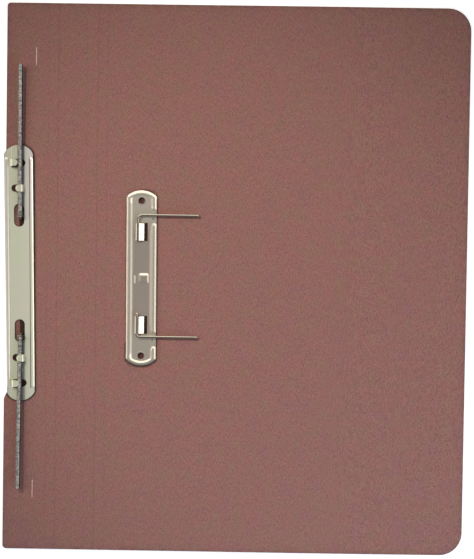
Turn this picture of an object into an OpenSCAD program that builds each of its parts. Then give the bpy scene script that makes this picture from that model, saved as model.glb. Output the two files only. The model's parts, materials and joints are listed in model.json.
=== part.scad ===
// Transfer spring file: a scored manila sheet with a coil plate on its binding strip,
// a transfer plate with two hinged wire prongs, and a front cover folded back underneath.
// Millimetres. The file lies open and flat, inside face up. X runs across the sheet from
// the binding edge to the fore edge, Y up the sheet, Z up from the surface it lies on.

/* [Cover sheet] */
// Width of the opened sheet, binding edge to fore edge
sheet_w = 304; // [280:1:330]
// Height of the sheet
sheet_h = 360; // [320:1:390]
// Thickness of the manila board
board_t = 0.5; // [0.4:0.05:0.8]
// Corner radius at the fore edge
fore_corner_r = 15; // [5:1:30]
// Corner radius at the binding edge
bind_corner_r = 2.3; // [1:0.1:6]
// Width of the binding strip, from its edge to the first fold
strip_w = 27.9; // [26.5:0.1:34]
// Width of the spine between its two folds
spine_w = 38.9; // [30:0.1:46]
// Distance of the deep inner scores from each fold
score_in = 6.5; // [4:0.1:9]
// Distance of the light inner score from the second fold
light_score_in = 13.8; // [11:0.1:17]
// Width of a scored groove
score_w = 0.8; // [0.4:0.1:1.5]
// Depth of a scored groove
score_d = 0.15; // [0.05:0.05:0.25]
// Gap left between two panels at a fold
fold_gap = 0.1; // [0.05:0.05:0.3]

/* [Front cover] */
// Width of the front cover beyond its fold
front_w = 209; // [150:1:220]
// Width of its stapled band under the strip
band_w = 26; // [23.5:0.5:26.5]
// How far the front cover stops short of the sheet at top and bottom
front_inset = 0.5; // [0:0.1:5]
// Clearance between clinched metal and the folded cover
clinch_clear = 0.06; // [0.02:0.01:0.3]

/* [Staples] */
// Distance of the staples from the binding edge
staple_in = 19.4; // [14:0.1:22]
// Distance of the upper staple's middle from the sheet's top edge
staple_upper_in = 35; // [15:0.5:60]
// Distance of the lower staple's middle from the sheet's bottom edge
staple_lower_in = 40; // [15:0.5:60]
// Length of the crown
staple_crown = 12; // [9:0.1:14]
// Diameter of the wire
staple_d = 0.44; // [0.3:0.02:0.5]
// Length of each clinched leg under the band
staple_clinch = 4; // [2:0.1:5]

/* [Transfer plate] */
// Thickness of both pressed plates
plate_t = 0.4; // [0.3:0.05:0.6]
// Width of the transfer plate
transfer_w = 19.8; // [18:0.1:24]
// Length of the transfer plate over its curved ends
transfer_l = 115.8; // [112:0.1:130]
// Distance of its middle from the binding edge
transfer_in = 90; // [85:0.1:100]
// Height of its middle above the sheet's middle
transfer_y = 0.3; // [-20:0.1:20]
// Bow of its curved ends
transfer_bow = 4; // [2:0.1:6]
// Width of its raised rim
rim_w = 3.8; // [3:0.1:4.5]
// Height of the rim above the plate
rim_h = 0.8; // [0.6:0.05:1.4]
// Length of the rim gaps that the prongs lie in
rim_gap = 8.2; // [6:0.1:10]
// How far each rim gap sits outside the prong pitch
rim_gap_out = 0.5; // [0:0.1:1]
// Width of the knuckle windows
window_w = 8.1; // [7.5:0.1:9]
// Length of the knuckle windows
window_l = 11.9; // [10:0.1:13]
// Distance of each window from the plate's middle
window_out = 30.6; // [29:0.1:31.5]
// Space at each end of a knuckle in its window
knuckle_gap = 0.3; // [0.2:0.05:0.6]
// Length of the knuckle's tail beyond the wire's axis
knuckle_tail = 4.2; // [2.5:0.1:5]
// Width of the centre pillow
pillow_w = 9.2; // [6:0.1:10]
// Length of the centre pillow
pillow_l = 7.3; // [5:0.1:10]
// Height of the centre pillow
pillow_h = 0.8; // [0.3:0.05:1.2]

/* [Eyelets] */
// Distance of each eyelet from its end of the plate
eyelet_in = 6.8; // [6:0.1:8]
// Bore of the eyelets
eyelet_bore = 4.4; // [3:0.1:5]
// Wall of the eyelets
eyelet_wall = 0.3; // [0.2:0.05:0.4]
// Width of the rolled flanges beyond the barrel
eyelet_lip = 0.45; // [0.3:0.05:0.5]
// Thickness of the rolled flanges
eyelet_lip_t = 0.3; // [0.2:0.05:0.4]
// Clearance around the eyelets and rivets
rivet_clear = 0.05; // [0.02:0.01:0.15]

/* [Prongs] */
// Diameter of the prong wire
prong_d = 1.7; // [1.4:0.05:1.8]
// Distance between the two prongs
prong_pitch = 80; // [79:0.1:81]
// Height of the prong pair above the plate's middle
prong_shift = 1.7; // [0:0.1:2]
// Length of the prongs from their hinge axis
prong_reach = 40.3; // [30:0.1:45]
// Distance of the hinge axis from the plate's middle, towards the binding edge
hinge_in = 2.7; // [2.2:0.1:2.7]
// Height of the hinge axis above the manila
hinge_h = 2.1; // [2.05:0.05:2.6]
// Bend radius of the upper prong
upper_bend_r = 3.5; // [2:0.1:4.5]
// Bend radius of the lower prong
lower_bend_r = 1.8; // [1.2:0.1:1.9]
// Length of the hinge leg from the prong's axis
leg_l = 14.9; // [13:0.1:16]
// Running clearance of the wire in its knuckle
prong_clear = 0.05; // [0.02:0.01:0.1]

/* [Coil plate] */
// Width of the coil plate
coil_plate_w = 19.3; // [18:0.1:20]
// Length of the coil plate over its curved ends
coil_plate_l = 168.4; // [166:0.1:190]
// Distance of its middle from the binding edge
coil_plate_in = 9.7; // [9:0.1:10.5]
// Height of its middle above the sheet's middle
coil_plate_y = 2.7; // [-5:0.1:5]
// Angle that it lies askew on the strip, in degrees
coil_plate_skew = 0.9; // [0:0.1:1.5]
// Radius of its curved ends
coil_plate_end_r = 11; // [10.5:0.1:14]
// Height of its flat above the manila
coil_plate_stand = 0.6; // [0.4:0.05:1]
// Length of its edge ribs
rib_l = 152; // [140:0.5:154]
// Width of its edge ribs
rib_w = 3.2; // [2.4:0.1:3.6]
// Height of its ribs above the flat
rib_h = 0.9; // [0.5:0.05:1.3]
// Width of the two slots
slot_w = 6.7; // [5:0.1:8]
// Length of the two slots
slot_l = 15; // [13.5:0.1:15]
// Distance of each slot's middle from the plate's middle
slot_out = 38; // [37.5:0.1:38.5]
// Width of the lanced hooks
hook_w = 4.6; // [3.5:0.1:5.5]
// Space around each hook in its lanced hole
lance_gap = 0.1; // [0.05:0.05:0.3]
// Distance of the inner hooks from the plate's middle
inner_hook_out = 55.8; // [53:0.1:58]
// Distance of the outer hooks from the plate's middle
outer_hook_out = 72.6; // [69:0.1:73]
// How far the inner hooks reach over the coil
inner_hook_l = 4.6; // [4:0.1:6]
// Length of the inner hooks' lanced holes
inner_hole_l = 8; // [7:0.1:8.5]
// Distance of the inner hooks' roots from the plate's middle line
inner_root = 3; // [2.8:0.1:3.4]
// How far the outer hooks reach over the coil
outer_hook_l = 4.6; // [4:0.1:6]
// Length of the outer hooks' lanced holes
outer_hole_l = 9.3; // [8:0.1:9.6]
// Distance of the outer hooks' roots from the plate's middle line
outer_root = 4.9; // [4.5:0.1:5]
// Outer radius of the hooks' bend
hook_bend_r = 1; // [0.7:0.1:1.4]
// Clearance between a coil and its hooks
hook_clear = 0.25; // [0.1:0.05:0.5]
// Width of the tongues that hold the coils
tongue_w = 1.2; // [0.8:0.1:1.3]
// Length of the tongue inside the coil
tongue_in = 4; // [2:0.1:5]
// Distance of the tongue's heel from the coil's end
tongue_heel = 1; // [0.6:0.1:2]

/* [Coil plate rivets] */
// Distance of each rivet from the plate's middle
rivet_out = 64.2; // [62:0.1:66]
// Diameter of the rivet shank
rivet_d = 2; // [1.5:0.1:2.2]
// Diameter of the rivet heads
rivet_head_d = 3; // [2.6:0.1:3.2]
// Height of the upper rivet heads
rivet_head_h = 0.25; // [0.15:0.05:0.3]
// Height of the clinched heads under the band
rivet_clinch_h = 0.4; // [0.3:0.05:0.45]
// Diameter of the pressed seats around the rivets
rivet_seat_d = 4.4; // [4:0.1:5]

/* [Coil springs] */
// Outer diameter of the coils
coil_d = 3.3; // [3:0.05:3.5]
// Diameter of the spring wire
coil_wire = 0.7; // [0.5:0.05:0.75]
// Turns of each coil
coil_turns = 45; // [30:1:46]
// Length of each coil from its anchor
coil_l = 101.5; // [98:0.5:110]
// Distance of the coil line from the plate's middle line
coil_line = 0.4; // [0:0.1:0.6]
// Distance of the coils' anchored ends from the plate's middle
coil_base_out = 38.6; // [38:0.1:39.5]
// How far both coils sit towards the lower end
coil_shift = 2; // [0:0.1:2.5]
// Clearance of the coils above the rivet heads
coil_float = 0.1; // [0.05:0.01:0.4]
// Rise of the coils' free tips
coil_tip_rise = 1; // [0:0.1:4]
// Sideways sway of the upper coil's tip
upper_sway = 1; // [-3:0.1:3]
// Sideways sway of the lower coil's tip
lower_sway = -2.3; // [-3:0.1:3]

/* [Hidden] */
$fn = 48;

manila = [0.54, 0.38, 0.35];
bright_steel = [0.72, 0.71, 0.66];
spring_steel = [0.52, 0.52, 0.50];

// A margin that lets cutting shapes pass through the faces they cut
cut = 1;
// How far a lanced tab runs into the plate at its root
root_lap = 0.5;

// Levels from the surface that the file lies on
layer_gap = max(staple_d, rivet_clinch_h) + clinch_clear;
band_z = board_t + layer_gap;
board_z = band_z + board_t;
top_z = board_z + board_t;

// Lines across the sheet
bind_x = -sheet_w / 2;
fore_x = sheet_w / 2;
strip_fold_x = bind_x + strip_w;
spine_fold_x = strip_fold_x + spine_w;

// Transfer plate
transfer_x = bind_x + transfer_in;
transfer_top = top_z + plate_t;
transfer_end_r = (pow(transfer_w / 2, 2) + pow(transfer_bow, 2)) / (2 * transfer_bow);
prong_r = prong_d / 2;
hinge_x = transfer_x - hinge_in;
hinge_z = top_z + hinge_h;
knuckle_in_r = prong_r + prong_clear;
knuckle_out_r = knuckle_in_r + plate_t;
knuckle_l = window_l - 2 * knuckle_gap;
eyelet_out = transfer_l / 2 - eyelet_in;
eyelet_out_r = eyelet_bore / 2 + eyelet_wall;

// Coil plate
coil_plate_x = bind_x + coil_plate_in;
flat_z = top_z + coil_plate_stand;
flat_top = flat_z + plate_t;
coil_r = coil_d / 2;
coil_z = flat_top + rivet_head_h + coil_float + coil_r;
hook_under = coil_z + coil_r + hook_clear;
rivet_head_z = band_z - rivet_clinch_h;

// Rectangle with round corners, centred
module rounded_rect(w, l, r) {
    square([w, l - 2 * r], center = true);
    square([w - 2 * r, l], center = true);
    for (x = [-1, 1], y = [-1, 1])
        translate([x * (w / 2 - r), y * (l / 2 - r)]) circle(r);
}

// Long shape along Y with round ends, centred
module obround(w, l) {
    square([w, l - w], center = true);
    for (y = [-1, 1]) translate([0, y * (l - w) / 2]) circle(d = w);
}

// Strip from x0 to x1 with its own corner radius at each side
module panel_outline(x0, x1, h, r0, r1) {
    translate([x0 + r0, -h / 2]) square([x1 - x0 - r0 - r1, h]);
    translate([x0, r0 - h / 2]) square([r0, h - 2 * r0]);
    translate([x1 - r1, r1 - h / 2]) square([r1, h - 2 * r1]);
    for (y = [-1, 1]) {
        translate([x0 + r0, y * (h / 2 - r0)]) circle(r0);
        translate([x1 - r1, y * (h / 2 - r1)]) circle(r1);
    }
}

// Rectangle whose two ends are arcs of radius r
module bowed_rect(w, l, r) {
    bow = r - sqrt(r * r - w * w / 4);
    square([w, l - 2 * bow], center = true);
    for (s = [-1, 1])
        intersection() {
            translate([0, s * (l / 2 - r)]) circle(r, $fn = 96);
            translate([0, s * l / 4]) square([w, l / 2], center = true);
        }
}

// Cross-section of a pressed bead: an arc of the given height on a base of the sheet's thickness
module bead_section(w, h) {
    r = (w * w / 4 + h * h) / (2 * h);
    translate([-w / 2, 0]) square([w, plate_t]);
    intersection() {
        translate([0, plate_t + h - r]) circle(r, $fn = 96);
        translate([-w / 2, plate_t / 2]) square([w, plate_t / 2 + h]);
    }
}

// A straight pressed bead along Y, centred
module bead(w, h, l) {
    translate([0, l / 2, 0]) rotate([90, 0, 0]) linear_extrude(l) bead_section(w, h);
}

// A scored groove across the sheet's top face at x
module score(x) {
    translate([x, sheet_h / 2 + cut, top_z]) rotate([90, 0, 0])
        linear_extrude(sheet_h + 2 * cut)
            polygon([[-score_w / 2, 0], [0, -score_d], [score_w / 2, 0], [0, cut]]);
}

// Places of the two staples and of the two eyelets
function staple_y(side) = side * (sheet_h / 2 - (side > 0 ? staple_upper_in : staple_lower_in));
function eyelet_y(side) = transfer_y + side * eyelet_out;

module on_coil_plate() {
    translate([coil_plate_x, coil_plate_y, 0]) rotate([0, 0, coil_plate_skew]) children();
}

module staple_holes() {
    for (side = [-1, 1], end = [-1, 1])
        translate([bind_x + staple_in, staple_y(side) + end * (staple_crown - staple_d) / 2, band_z - cut])
            cylinder(d = staple_d + 2 * rivet_clear, h = top_z - band_z + 2 * cut);
}

module rivet_holes() {
    on_coil_plate() for (side = [-1, 1])
        translate([coil_line, side * rivet_out, band_z - cut])
            cylinder(d = rivet_d + 2 * rivet_clear, h = flat_top - band_z + 2 * cut);
}

module back_cover() {
    color(manila) difference() {
        translate([0, 0, board_z]) linear_extrude(board_t)
            panel_outline(spine_fold_x + fold_gap / 2, fore_x, sheet_h, fold_gap, fore_corner_r);
        for (side = [-1, 1])
            translate([transfer_x, eyelet_y(side), board_z - cut])
                cylinder(r = eyelet_out_r + rivet_clear, h = board_t + 2 * cut);
    }
}

module spine_panel() {
    color(manila) difference() {
        translate([strip_fold_x + fold_gap / 2, -sheet_h / 2, board_z])
            cube([spine_w - fold_gap, sheet_h, board_t]);
        score(strip_fold_x + score_in);
        score(spine_fold_x - light_score_in);
        score(spine_fold_x - score_in);
    }
}

module binding_strip() {
    color(manila) difference() {
        translate([0, 0, board_z]) linear_extrude(board_t)
            panel_outline(bind_x, strip_fold_x - fold_gap / 2, sheet_h, bind_corner_r, fold_gap);
        staple_holes();
        rivet_holes();
    }
}

module front_cover_band() {
    color(manila) difference() {
        translate([bind_x, front_inset - sheet_h / 2, band_z])
            cube([band_w, sheet_h - 2 * front_inset, board_t]);
        staple_holes();
        rivet_holes();
    }
}

module front_cover() {
    color(manila) linear_extrude(board_t)
        panel_outline(bind_x + fold_gap, bind_x + front_w, sheet_h - 2 * front_inset, fold_gap, fore_corner_r);
}

// A wire staple: crown on the strip, legs through both boards, ends clinched under the band
module staple(side) {
    r = staple_d / 2;
    leg_y = staple_crown / 2 - r;
    crown_z = top_z + r;
    clinch_z = band_z - r;
    color(bright_steel) translate([bind_x + staple_in, staple_y(side), 0]) {
        translate([0, leg_y, crown_z]) rotate([90, 0, 0]) cylinder(r = r, h = 2 * leg_y);
        for (end = [-1, 1]) translate([0, end * leg_y, 0]) {
            translate([0, 0, clinch_z]) cylinder(r = r, h = crown_z - clinch_z);
            translate([0, 0, crown_z]) sphere(r);
            translate([0, 0, clinch_z]) sphere(r);
            translate([0, 0, clinch_z]) rotate([end * 90, 0, 0]) cylinder(r = r, h = staple_clinch);
        }
    }
}

module staple_upper() { staple(1); }
module staple_lower() { staple(-1); }

// The raised rim round the transfer plate, before its prong gaps are cut
module transfer_rim() {
    half_angle = asin(transfer_w / 2 / transfer_end_r);
    for (side = [-1, 1])
        translate([side * (transfer_w - rim_w) / 2, 0, 0]) bead(rim_w, rim_h, transfer_l - 2 * transfer_bow);
    for (end = [0, 180])
        rotate([0, 0, end]) translate([0, transfer_l / 2 - transfer_end_r, 0])
            rotate([0, 0, 90 - half_angle]) rotate_extrude(angle = 2 * half_angle, $fn = 96)
                translate([transfer_end_r - rim_w / 2, 0]) bead_section(rim_w, rim_h);
}

// A knuckle curled from the plate: root wall, ring round the wire, and tail along the window
module knuckle() {
    root_w = window_w / 2 - hinge_in + root_lap;
    tail_z = hinge_h - knuckle_out_r - plate_t / 2;
    translate([-hinge_in, knuckle_l / 2, 0]) rotate([90, 0, 0]) linear_extrude(knuckle_l) difference() {
        union() {
            translate([0, hinge_h]) circle(knuckle_out_r);
            translate([-knuckle_out_r, 0]) square([plate_t, hinge_h]);
            translate([-root_w, 0]) square([root_w - knuckle_out_r + plate_t, plate_t]);
            translate([-knuckle_out_r, tail_z]) square([knuckle_out_r + knuckle_tail, plate_t]);
        }
        translate([0, hinge_h]) circle(knuckle_in_r);
    }
}

module transfer_plate() {
    color(bright_steel) translate([transfer_x, transfer_y, top_z]) {
        difference() {
            union() {
                linear_extrude(plate_t) bowed_rect(transfer_w, transfer_l, transfer_end_r);
                difference() {
                    transfer_rim();
                    for (side = [-1, 1])
                        translate([0, side * (prong_pitch / 2 + rim_gap_out) - rim_gap / 2, plate_t])
                            cube([transfer_w, rim_gap, rim_h + cut]);
                }
                linear_extrude(plate_t + pillow_h) rounded_rect(pillow_w, pillow_l, pillow_l / 4);
            }
            for (side = [-1, 1]) {
                translate([-window_w / 2, side * window_out - window_l / 2, -cut])
                    cube([window_w, window_l, plate_t + 2 * cut]);
                translate([0, side * eyelet_out, -cut])
                    cylinder(r = eyelet_out_r + rivet_clear, h = plate_t + 2 * cut);
            }
        }
        for (side = [-1, 1]) translate([0, side * window_out, 0]) knuckle();
    }
}

// A hollow eyelet through plate and board, rolled over at both ends
module eyelet(side) {
    bore_r = eyelet_bore / 2;
    lip_r = eyelet_out_r + eyelet_lip;
    color(bright_steel) translate([transfer_x, eyelet_y(side), 0]) rotate_extrude() polygon([
        [bore_r, board_z - eyelet_lip_t],
        [lip_r, board_z - eyelet_lip_t],
        [lip_r, board_z],
        [eyelet_out_r, board_z],
        [eyelet_out_r, transfer_top],
        [lip_r, transfer_top],
        [lip_r, transfer_top + eyelet_lip_t],
        [bore_r, transfer_top + eyelet_lip_t]
    ]);
}

module eyelet_upper() { eyelet(1); }
module eyelet_lower() { eyelet(-1); }

// An L-shaped prong: hinge leg along Y, bend, and straight prong along X with a round tip
module prong(side, bend_r) {
    prong_y = transfer_y + prong_shift + side * prong_pitch / 2;
    color(spring_steel) translate([hinge_x, prong_y, hinge_z]) mirror([0, side > 0 ? 0 : 1, 0]) {
        translate([0, -bend_r, 0]) rotate([90, 0, 0]) cylinder(r = prong_r, h = leg_l - bend_r);
        translate([bend_r, -bend_r, 0]) rotate([0, 0, 90]) rotate_extrude(angle = 90)
            translate([bend_r, 0]) circle(prong_r);
        translate([bend_r, 0, 0]) rotate([0, 90, 0]) cylinder(r = prong_r, h = prong_reach - prong_r - bend_r);
        translate([prong_reach - prong_r, 0, 0]) sphere(prong_r);
    }
}

module prong_upper() { prong(1, upper_bend_r); }
module prong_lower() { prong(-1, lower_bend_r); }

// Plan of a lanced tab or hole that starts at x = 0 and has a round far end
module lance_outline(l, w) {
    translate([0, -w / 2]) square([l - w / 2, w]);
    translate([l - w / 2, 0]) circle(d = w);
}

// A hook lanced from the plate: it stands up at x = 0, bends and reaches over the coil along +X
module hook(reach) {
    in_r = hook_bend_r - plate_t;
    top = hook_under + plate_t - flat_z;
    intersection() {
        translate([-plate_t / 2, 0, 0]) linear_extrude(top + cut) lance_outline(reach + plate_t / 2, hook_w);
        translate([-plate_t / 2, hook_w / 2 + cut, 0]) rotate([90, 0, 0]) linear_extrude(hook_w + 2 * cut) union() {
            square([plate_t, top - hook_bend_r]);
            translate([hook_bend_r, top - plate_t]) square([reach, plate_t]);
            intersection() {
                translate([hook_bend_r, top - hook_bend_r]) difference() {
                    circle(hook_bend_r);
                    circle(in_r);
                }
                translate([0, top - hook_bend_r]) square(hook_bend_r);
            }
        }
    }
}

// Anchored end of a coil, measured from the plate's middle
function coil_base_y(side) = side * coil_base_out - coil_shift;

// A tongue from the slot's outer end that turns back up into the coil's anchored end
module tongue(side) {
    base = side * coil_base_y(side);
    heel = base - tongue_heel;
    root = slot_out + slot_l / 2 + root_lap;
    finger_z = coil_z - plate_t / 2;
    mirror([0, side > 0 ? 0 : 1, 0]) translate([coil_line - tongue_w / 2, 0, 0]) {
        translate([0, heel, flat_z]) cube([tongue_w, root - heel, plate_t]);
        translate([0, heel, flat_z]) cube([tongue_w, plate_t, finger_z + plate_t - flat_z]);
        translate([0, heel, finger_z]) cube([tongue_w, base + tongue_in - heel, plate_t]);
    }
}

// Inner hooks turn towards -X and outer hooks towards +X, so a coil lies between facing hooks
module hook_places() {
    for (side = [-1, 1]) {
        translate([inner_root, side * inner_hook_out, 0]) mirror([1, 0, 0]) children(0);
        translate([-outer_root, side * outer_hook_out, 0]) children(1);
    }
}

module coil_plate() {
    color(bright_steel) on_coil_plate() {
        difference() {
            union() {
                translate([0, 0, flat_z]) linear_extrude(plate_t)
                    bowed_rect(coil_plate_w, coil_plate_l, coil_plate_end_r);
                for (side = [-1, 1]) translate([side * (coil_plate_w - rib_w) / 2, 0, 0]) {
                    translate([0, 0, top_z]) linear_extrude(flat_top - top_z) obround(rib_w, rib_l);
                    translate([0, 0, flat_z]) intersection() {
                        bead(rib_w, rib_h, rib_l);
                        linear_extrude(plate_t + rib_h + cut) obround(rib_w, rib_l);
                    }
                }
                for (side = [-1, 1]) translate([coil_line, side * rivet_out, top_z])
                    cylinder(d = rivet_seat_d, h = coil_plate_stand + plate_t / 2);
            }
            translate([0, 0, flat_z - cut]) linear_extrude(plate_t + 2 * cut) {
                for (side = [-1, 1]) translate([0, side * slot_out]) obround(slot_w, slot_l);
                hook_places() {
                    lance_outline(inner_hole_l, hook_w + 2 * lance_gap);
                    lance_outline(outer_hole_l, hook_w + 2 * lance_gap);
                }
            }
            for (side = [-1, 1]) translate([coil_line, side * rivet_out, top_z - cut])
                cylinder(d = rivet_d + 2 * rivet_clear, h = flat_top - top_z + 2 * cut);
        }
        translate([0, 0, flat_z]) hook_places() {
            hook(inner_hook_l);
            hook(outer_hook_l);
        }
        for (side = [-1, 1]) tongue(side);
    }
}

// A small rivet under a coil, from the plate's seat to the clinched head under the band
module coil_plate_rivet(side) {
    color(bright_steel) on_coil_plate() translate([coil_line, side * rivet_out, 0]) {
        translate([0, 0, rivet_head_z]) cylinder(d = rivet_head_d, h = rivet_clinch_h);
        translate([0, 0, rivet_head_z]) cylinder(d = rivet_d, h = flat_top - rivet_head_z + rivet_head_h);
        translate([0, 0, flat_top]) cylinder(d = rivet_head_d, h = rivet_head_h);
    }
}

module rivet_upper() { coil_plate_rivet(1); }
module rivet_lower() { coil_plate_rivet(-1); }

// Helix of a coil: rings per turn and sides of its wire
curl_rings = 8;
wire_sides = 6;
winding_r = coil_r - coil_wire / 2;
winding_l = coil_l - coil_wire;
ring_count = coil_turns * curl_rings;

// Middle line of a coil at share f of its length, in the plate's frame, running along +Y
function coil_middle(f, sway) = [sway * f * f, coil_wire / 2 + winding_l * f, coil_tip_rise * f * f];

// Point on the helix at ring i
function coil_point(i, sway) =
    let (f = i / ring_count, a = 360 * i / curl_rings)
    coil_middle(f, sway) + winding_r * [cos(a), 0, sin(a)];

// Wire's path: the helix with a straight end of one wire diameter at each side
function unit(v) = v / norm(v);
function coil_path(sway) =
    let (
        helix = [for (i = [0:ring_count]) coil_point(i, sway)],
        first = unit(helix[0] - helix[1]),
        last = unit(helix[ring_count] - helix[ring_count - 1])
    )
    concat([helix[0] + first * coil_wire], helix, [helix[ring_count] + last * coil_wire]);

// Ring of the wire at path point i, square to the path
function wire_ring(path, i) =
    let (
        n = len(path) - 1,
        along = unit(path[min(i + 1, n)] - path[max(i - 1, 0)]),
        side = unit(cross(along, [0, 1, 0])),
        up = cross(side, along)
    )
    [for (k = [0:wire_sides - 1])
        path[i] + coil_wire / 2 * (cos(360 * k / wire_sides) * side + sin(360 * k / wire_sides) * up)];

// Least gap between neighbouring turns, measured on the path's points
function least_gap(path) =
    min([for (i = [1:len(path) - 2], j = [i + curl_rings / 2:min(i + 2 * curl_rings, len(path) - 2)])
        norm(path[i] - path[j])]) - coil_wire;

// One unbroken helical wire
module helical_wire(sway) {
    path = coil_path(sway);
    rings = len(path);
    points = [for (i = [0:rings - 1]) each wire_ring(path, i)];
    sides = [for (i = [0:rings - 2], k = [0:wire_sides - 1])
        let (a = i * wire_sides + k, b = i * wire_sides + (k + 1) % wire_sides)
        each [[a, b, a + wire_sides], [b, b + wire_sides, a + wire_sides]]];
    start_cap = [for (k = [1:wire_sides - 2]) [0, k + 1, k]];
    far = (rings - 1) * wire_sides;
    end_cap = [for (k = [1:wire_sides - 2]) [far, far + k, far + k + 1]];
    echo(least_gap_between_turns = least_gap(path));
    polyhedron(points, concat(sides, start_cap, end_cap));
}

module coil_spring(side, sway) {
    color(spring_steel) on_coil_plate() translate([coil_line, coil_base_y(side), coil_z])
        rotate([0, 0, side > 0 ? 0 : 180]) helical_wire(side * sway);
}

module coil_spring_upper() { coil_spring(1, upper_sway); }
module coil_spring_lower() { coil_spring(-1, lower_sway); }

back_cover();
spine_panel();
binding_strip();
front_cover_band();
front_cover();
staple_upper();
staple_lower();
transfer_plate();
eyelet_upper();
eyelet_lower();
prong_upper();
prong_lower();
coil_plate();
rivet_upper();
rivet_lower();
coil_spring_upper();
coil_spring_lower();
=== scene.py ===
# %% [markdown]
# # A spring file, step by step
# A spring file is a scored manila board with two pressed-steel fittings. Papers go on two hinged wire
# prongs, and two close-wound coil springs on the other fitting slip over the prong tips, so that a whole
# stack can be moved from one to the other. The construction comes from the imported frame: every fold line,
# hinge line and plate is already in its place there. This lesson dresses that frame. Each new piece is a
# surface worked out with numpy from the frame's own sizes, and each finish is a small tree of shader
# nodes written as arithmetic.

import json
import math

import bmesh
import bpy
import numpy as np
from mathutils import Euler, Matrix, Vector


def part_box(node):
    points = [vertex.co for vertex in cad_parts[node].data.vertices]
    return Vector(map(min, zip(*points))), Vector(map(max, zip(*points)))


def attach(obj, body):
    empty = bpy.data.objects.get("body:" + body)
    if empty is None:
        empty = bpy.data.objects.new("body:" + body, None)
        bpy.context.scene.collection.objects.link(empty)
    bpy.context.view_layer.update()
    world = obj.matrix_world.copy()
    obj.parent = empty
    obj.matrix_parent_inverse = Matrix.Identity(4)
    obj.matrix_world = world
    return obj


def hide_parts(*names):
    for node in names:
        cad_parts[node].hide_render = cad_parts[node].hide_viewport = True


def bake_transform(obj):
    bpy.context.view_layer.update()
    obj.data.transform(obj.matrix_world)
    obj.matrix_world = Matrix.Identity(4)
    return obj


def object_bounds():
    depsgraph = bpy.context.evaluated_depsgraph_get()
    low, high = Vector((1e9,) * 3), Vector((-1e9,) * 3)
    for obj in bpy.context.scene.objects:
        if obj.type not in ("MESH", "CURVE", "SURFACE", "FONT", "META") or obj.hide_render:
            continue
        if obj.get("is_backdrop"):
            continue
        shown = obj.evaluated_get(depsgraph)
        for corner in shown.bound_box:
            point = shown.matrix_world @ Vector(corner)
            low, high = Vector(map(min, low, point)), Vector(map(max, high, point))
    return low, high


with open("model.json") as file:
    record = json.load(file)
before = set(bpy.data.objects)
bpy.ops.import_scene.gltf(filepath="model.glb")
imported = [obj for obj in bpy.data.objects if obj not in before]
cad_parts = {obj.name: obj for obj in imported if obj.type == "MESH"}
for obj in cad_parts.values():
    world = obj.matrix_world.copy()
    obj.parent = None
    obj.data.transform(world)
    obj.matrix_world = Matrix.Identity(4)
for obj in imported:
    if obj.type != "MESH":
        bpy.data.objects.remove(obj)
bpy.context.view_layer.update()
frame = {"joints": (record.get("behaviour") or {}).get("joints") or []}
MM = 0.001
joints = {joint["name"]: joint for joint in frame["joints"]}


def node_box(name):
    """Lowest and highest corner of a node of the frame, in millimetres."""
    low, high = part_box(name)
    return np.array(low) / MM, np.array(high) / MM


def joint_place(name):
    """A joint's place in millimetres."""
    return np.array(joints[name]["pos_m"]) / MM


# %% [markdown]
# ## Surfaces from arrays
# A thin sheet, pressed or scored, is a grid of points: rows run up the sheet and columns across it. A
# function of the two grid directions gives every point's height at once, so there is no loop over points.
# Two such grids, one for each face, become one closed skin when walls join them round the border and
# round every opening. Wires are rings carried along a path, and turned pieces are a profile carried round
# an axis.


# %% Grids and shells
def ease(share):
    """A share from 0 to 1 that leaves both ends gently: three squares less two cubes."""
    share = np.clip(share, 0, 1)
    return share * share * (3 - 2 * share)


def unit(vectors):
    """Vectors divided by their own lengths."""
    return vectors / np.linalg.norm(vectors, axis=-1, keepdims=True)


def ruled(stops, step):
    """Grid lines through every stop, with each span between two stops divided evenly at about the
    step."""
    stops = np.unique(np.round(stops, 5))
    spans = [
        np.linspace(a, b, max(1, round((b - a) / step)) + 1)[:-1]
        for a, b in zip(stops, stops[1:])
    ]
    return np.concatenate([*spans, stops[-1:]])


def quads(index):
    """Corner numbers of a grid's cells: a point, its next column, the next of both, and its next row."""
    cells = [index[:-1, :-1], index[:-1, 1:], index[1:, 1:], index[1:, :-1]]
    return np.stack(cells, axis=-1).reshape(-1, 4)


def shell(top, bottom, kept=None):
    """One closed skin from an upper and a lower grid of points. Each kept cell gives a face above and one
    below, and a wall joins the two grids wherever a kept cell meets a cut one or the border."""
    rows, columns = top.shape[:2]
    kept = np.ones((rows - 1, columns - 1), bool) if kept is None else kept
    upper = np.arange(rows * columns).reshape(rows, columns)
    lower = upper + rows * columns
    ring = np.pad(kept, 1).astype(int)
    across = ring[1:-1, :-1] - ring[1:-1, 1:]
    along = ring[:-1, 1:-1] - ring[1:, 1:-1]
    r, c = np.nonzero(across)
    side = np.stack([upper[r, c], lower[r, c], lower[r + 1, c], upper[r + 1, c]], axis=-1)
    side = np.where(across[r, c][:, None] > 0, side, side[:, ::-1])
    r, c = np.nonzero(along)
    end = np.stack([upper[r, c], upper[r, c + 1], lower[r, c + 1], lower[r, c]], axis=-1)
    end = np.where(along[r, c][:, None] > 0, end, end[:, ::-1])
    points = np.concatenate([top.reshape(-1, 3), bottom.reshape(-1, 3)])
    return points, [quads(upper)[kept.ravel()], quads(lower)[kept.ravel()][:, ::-1], side, end]


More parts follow.
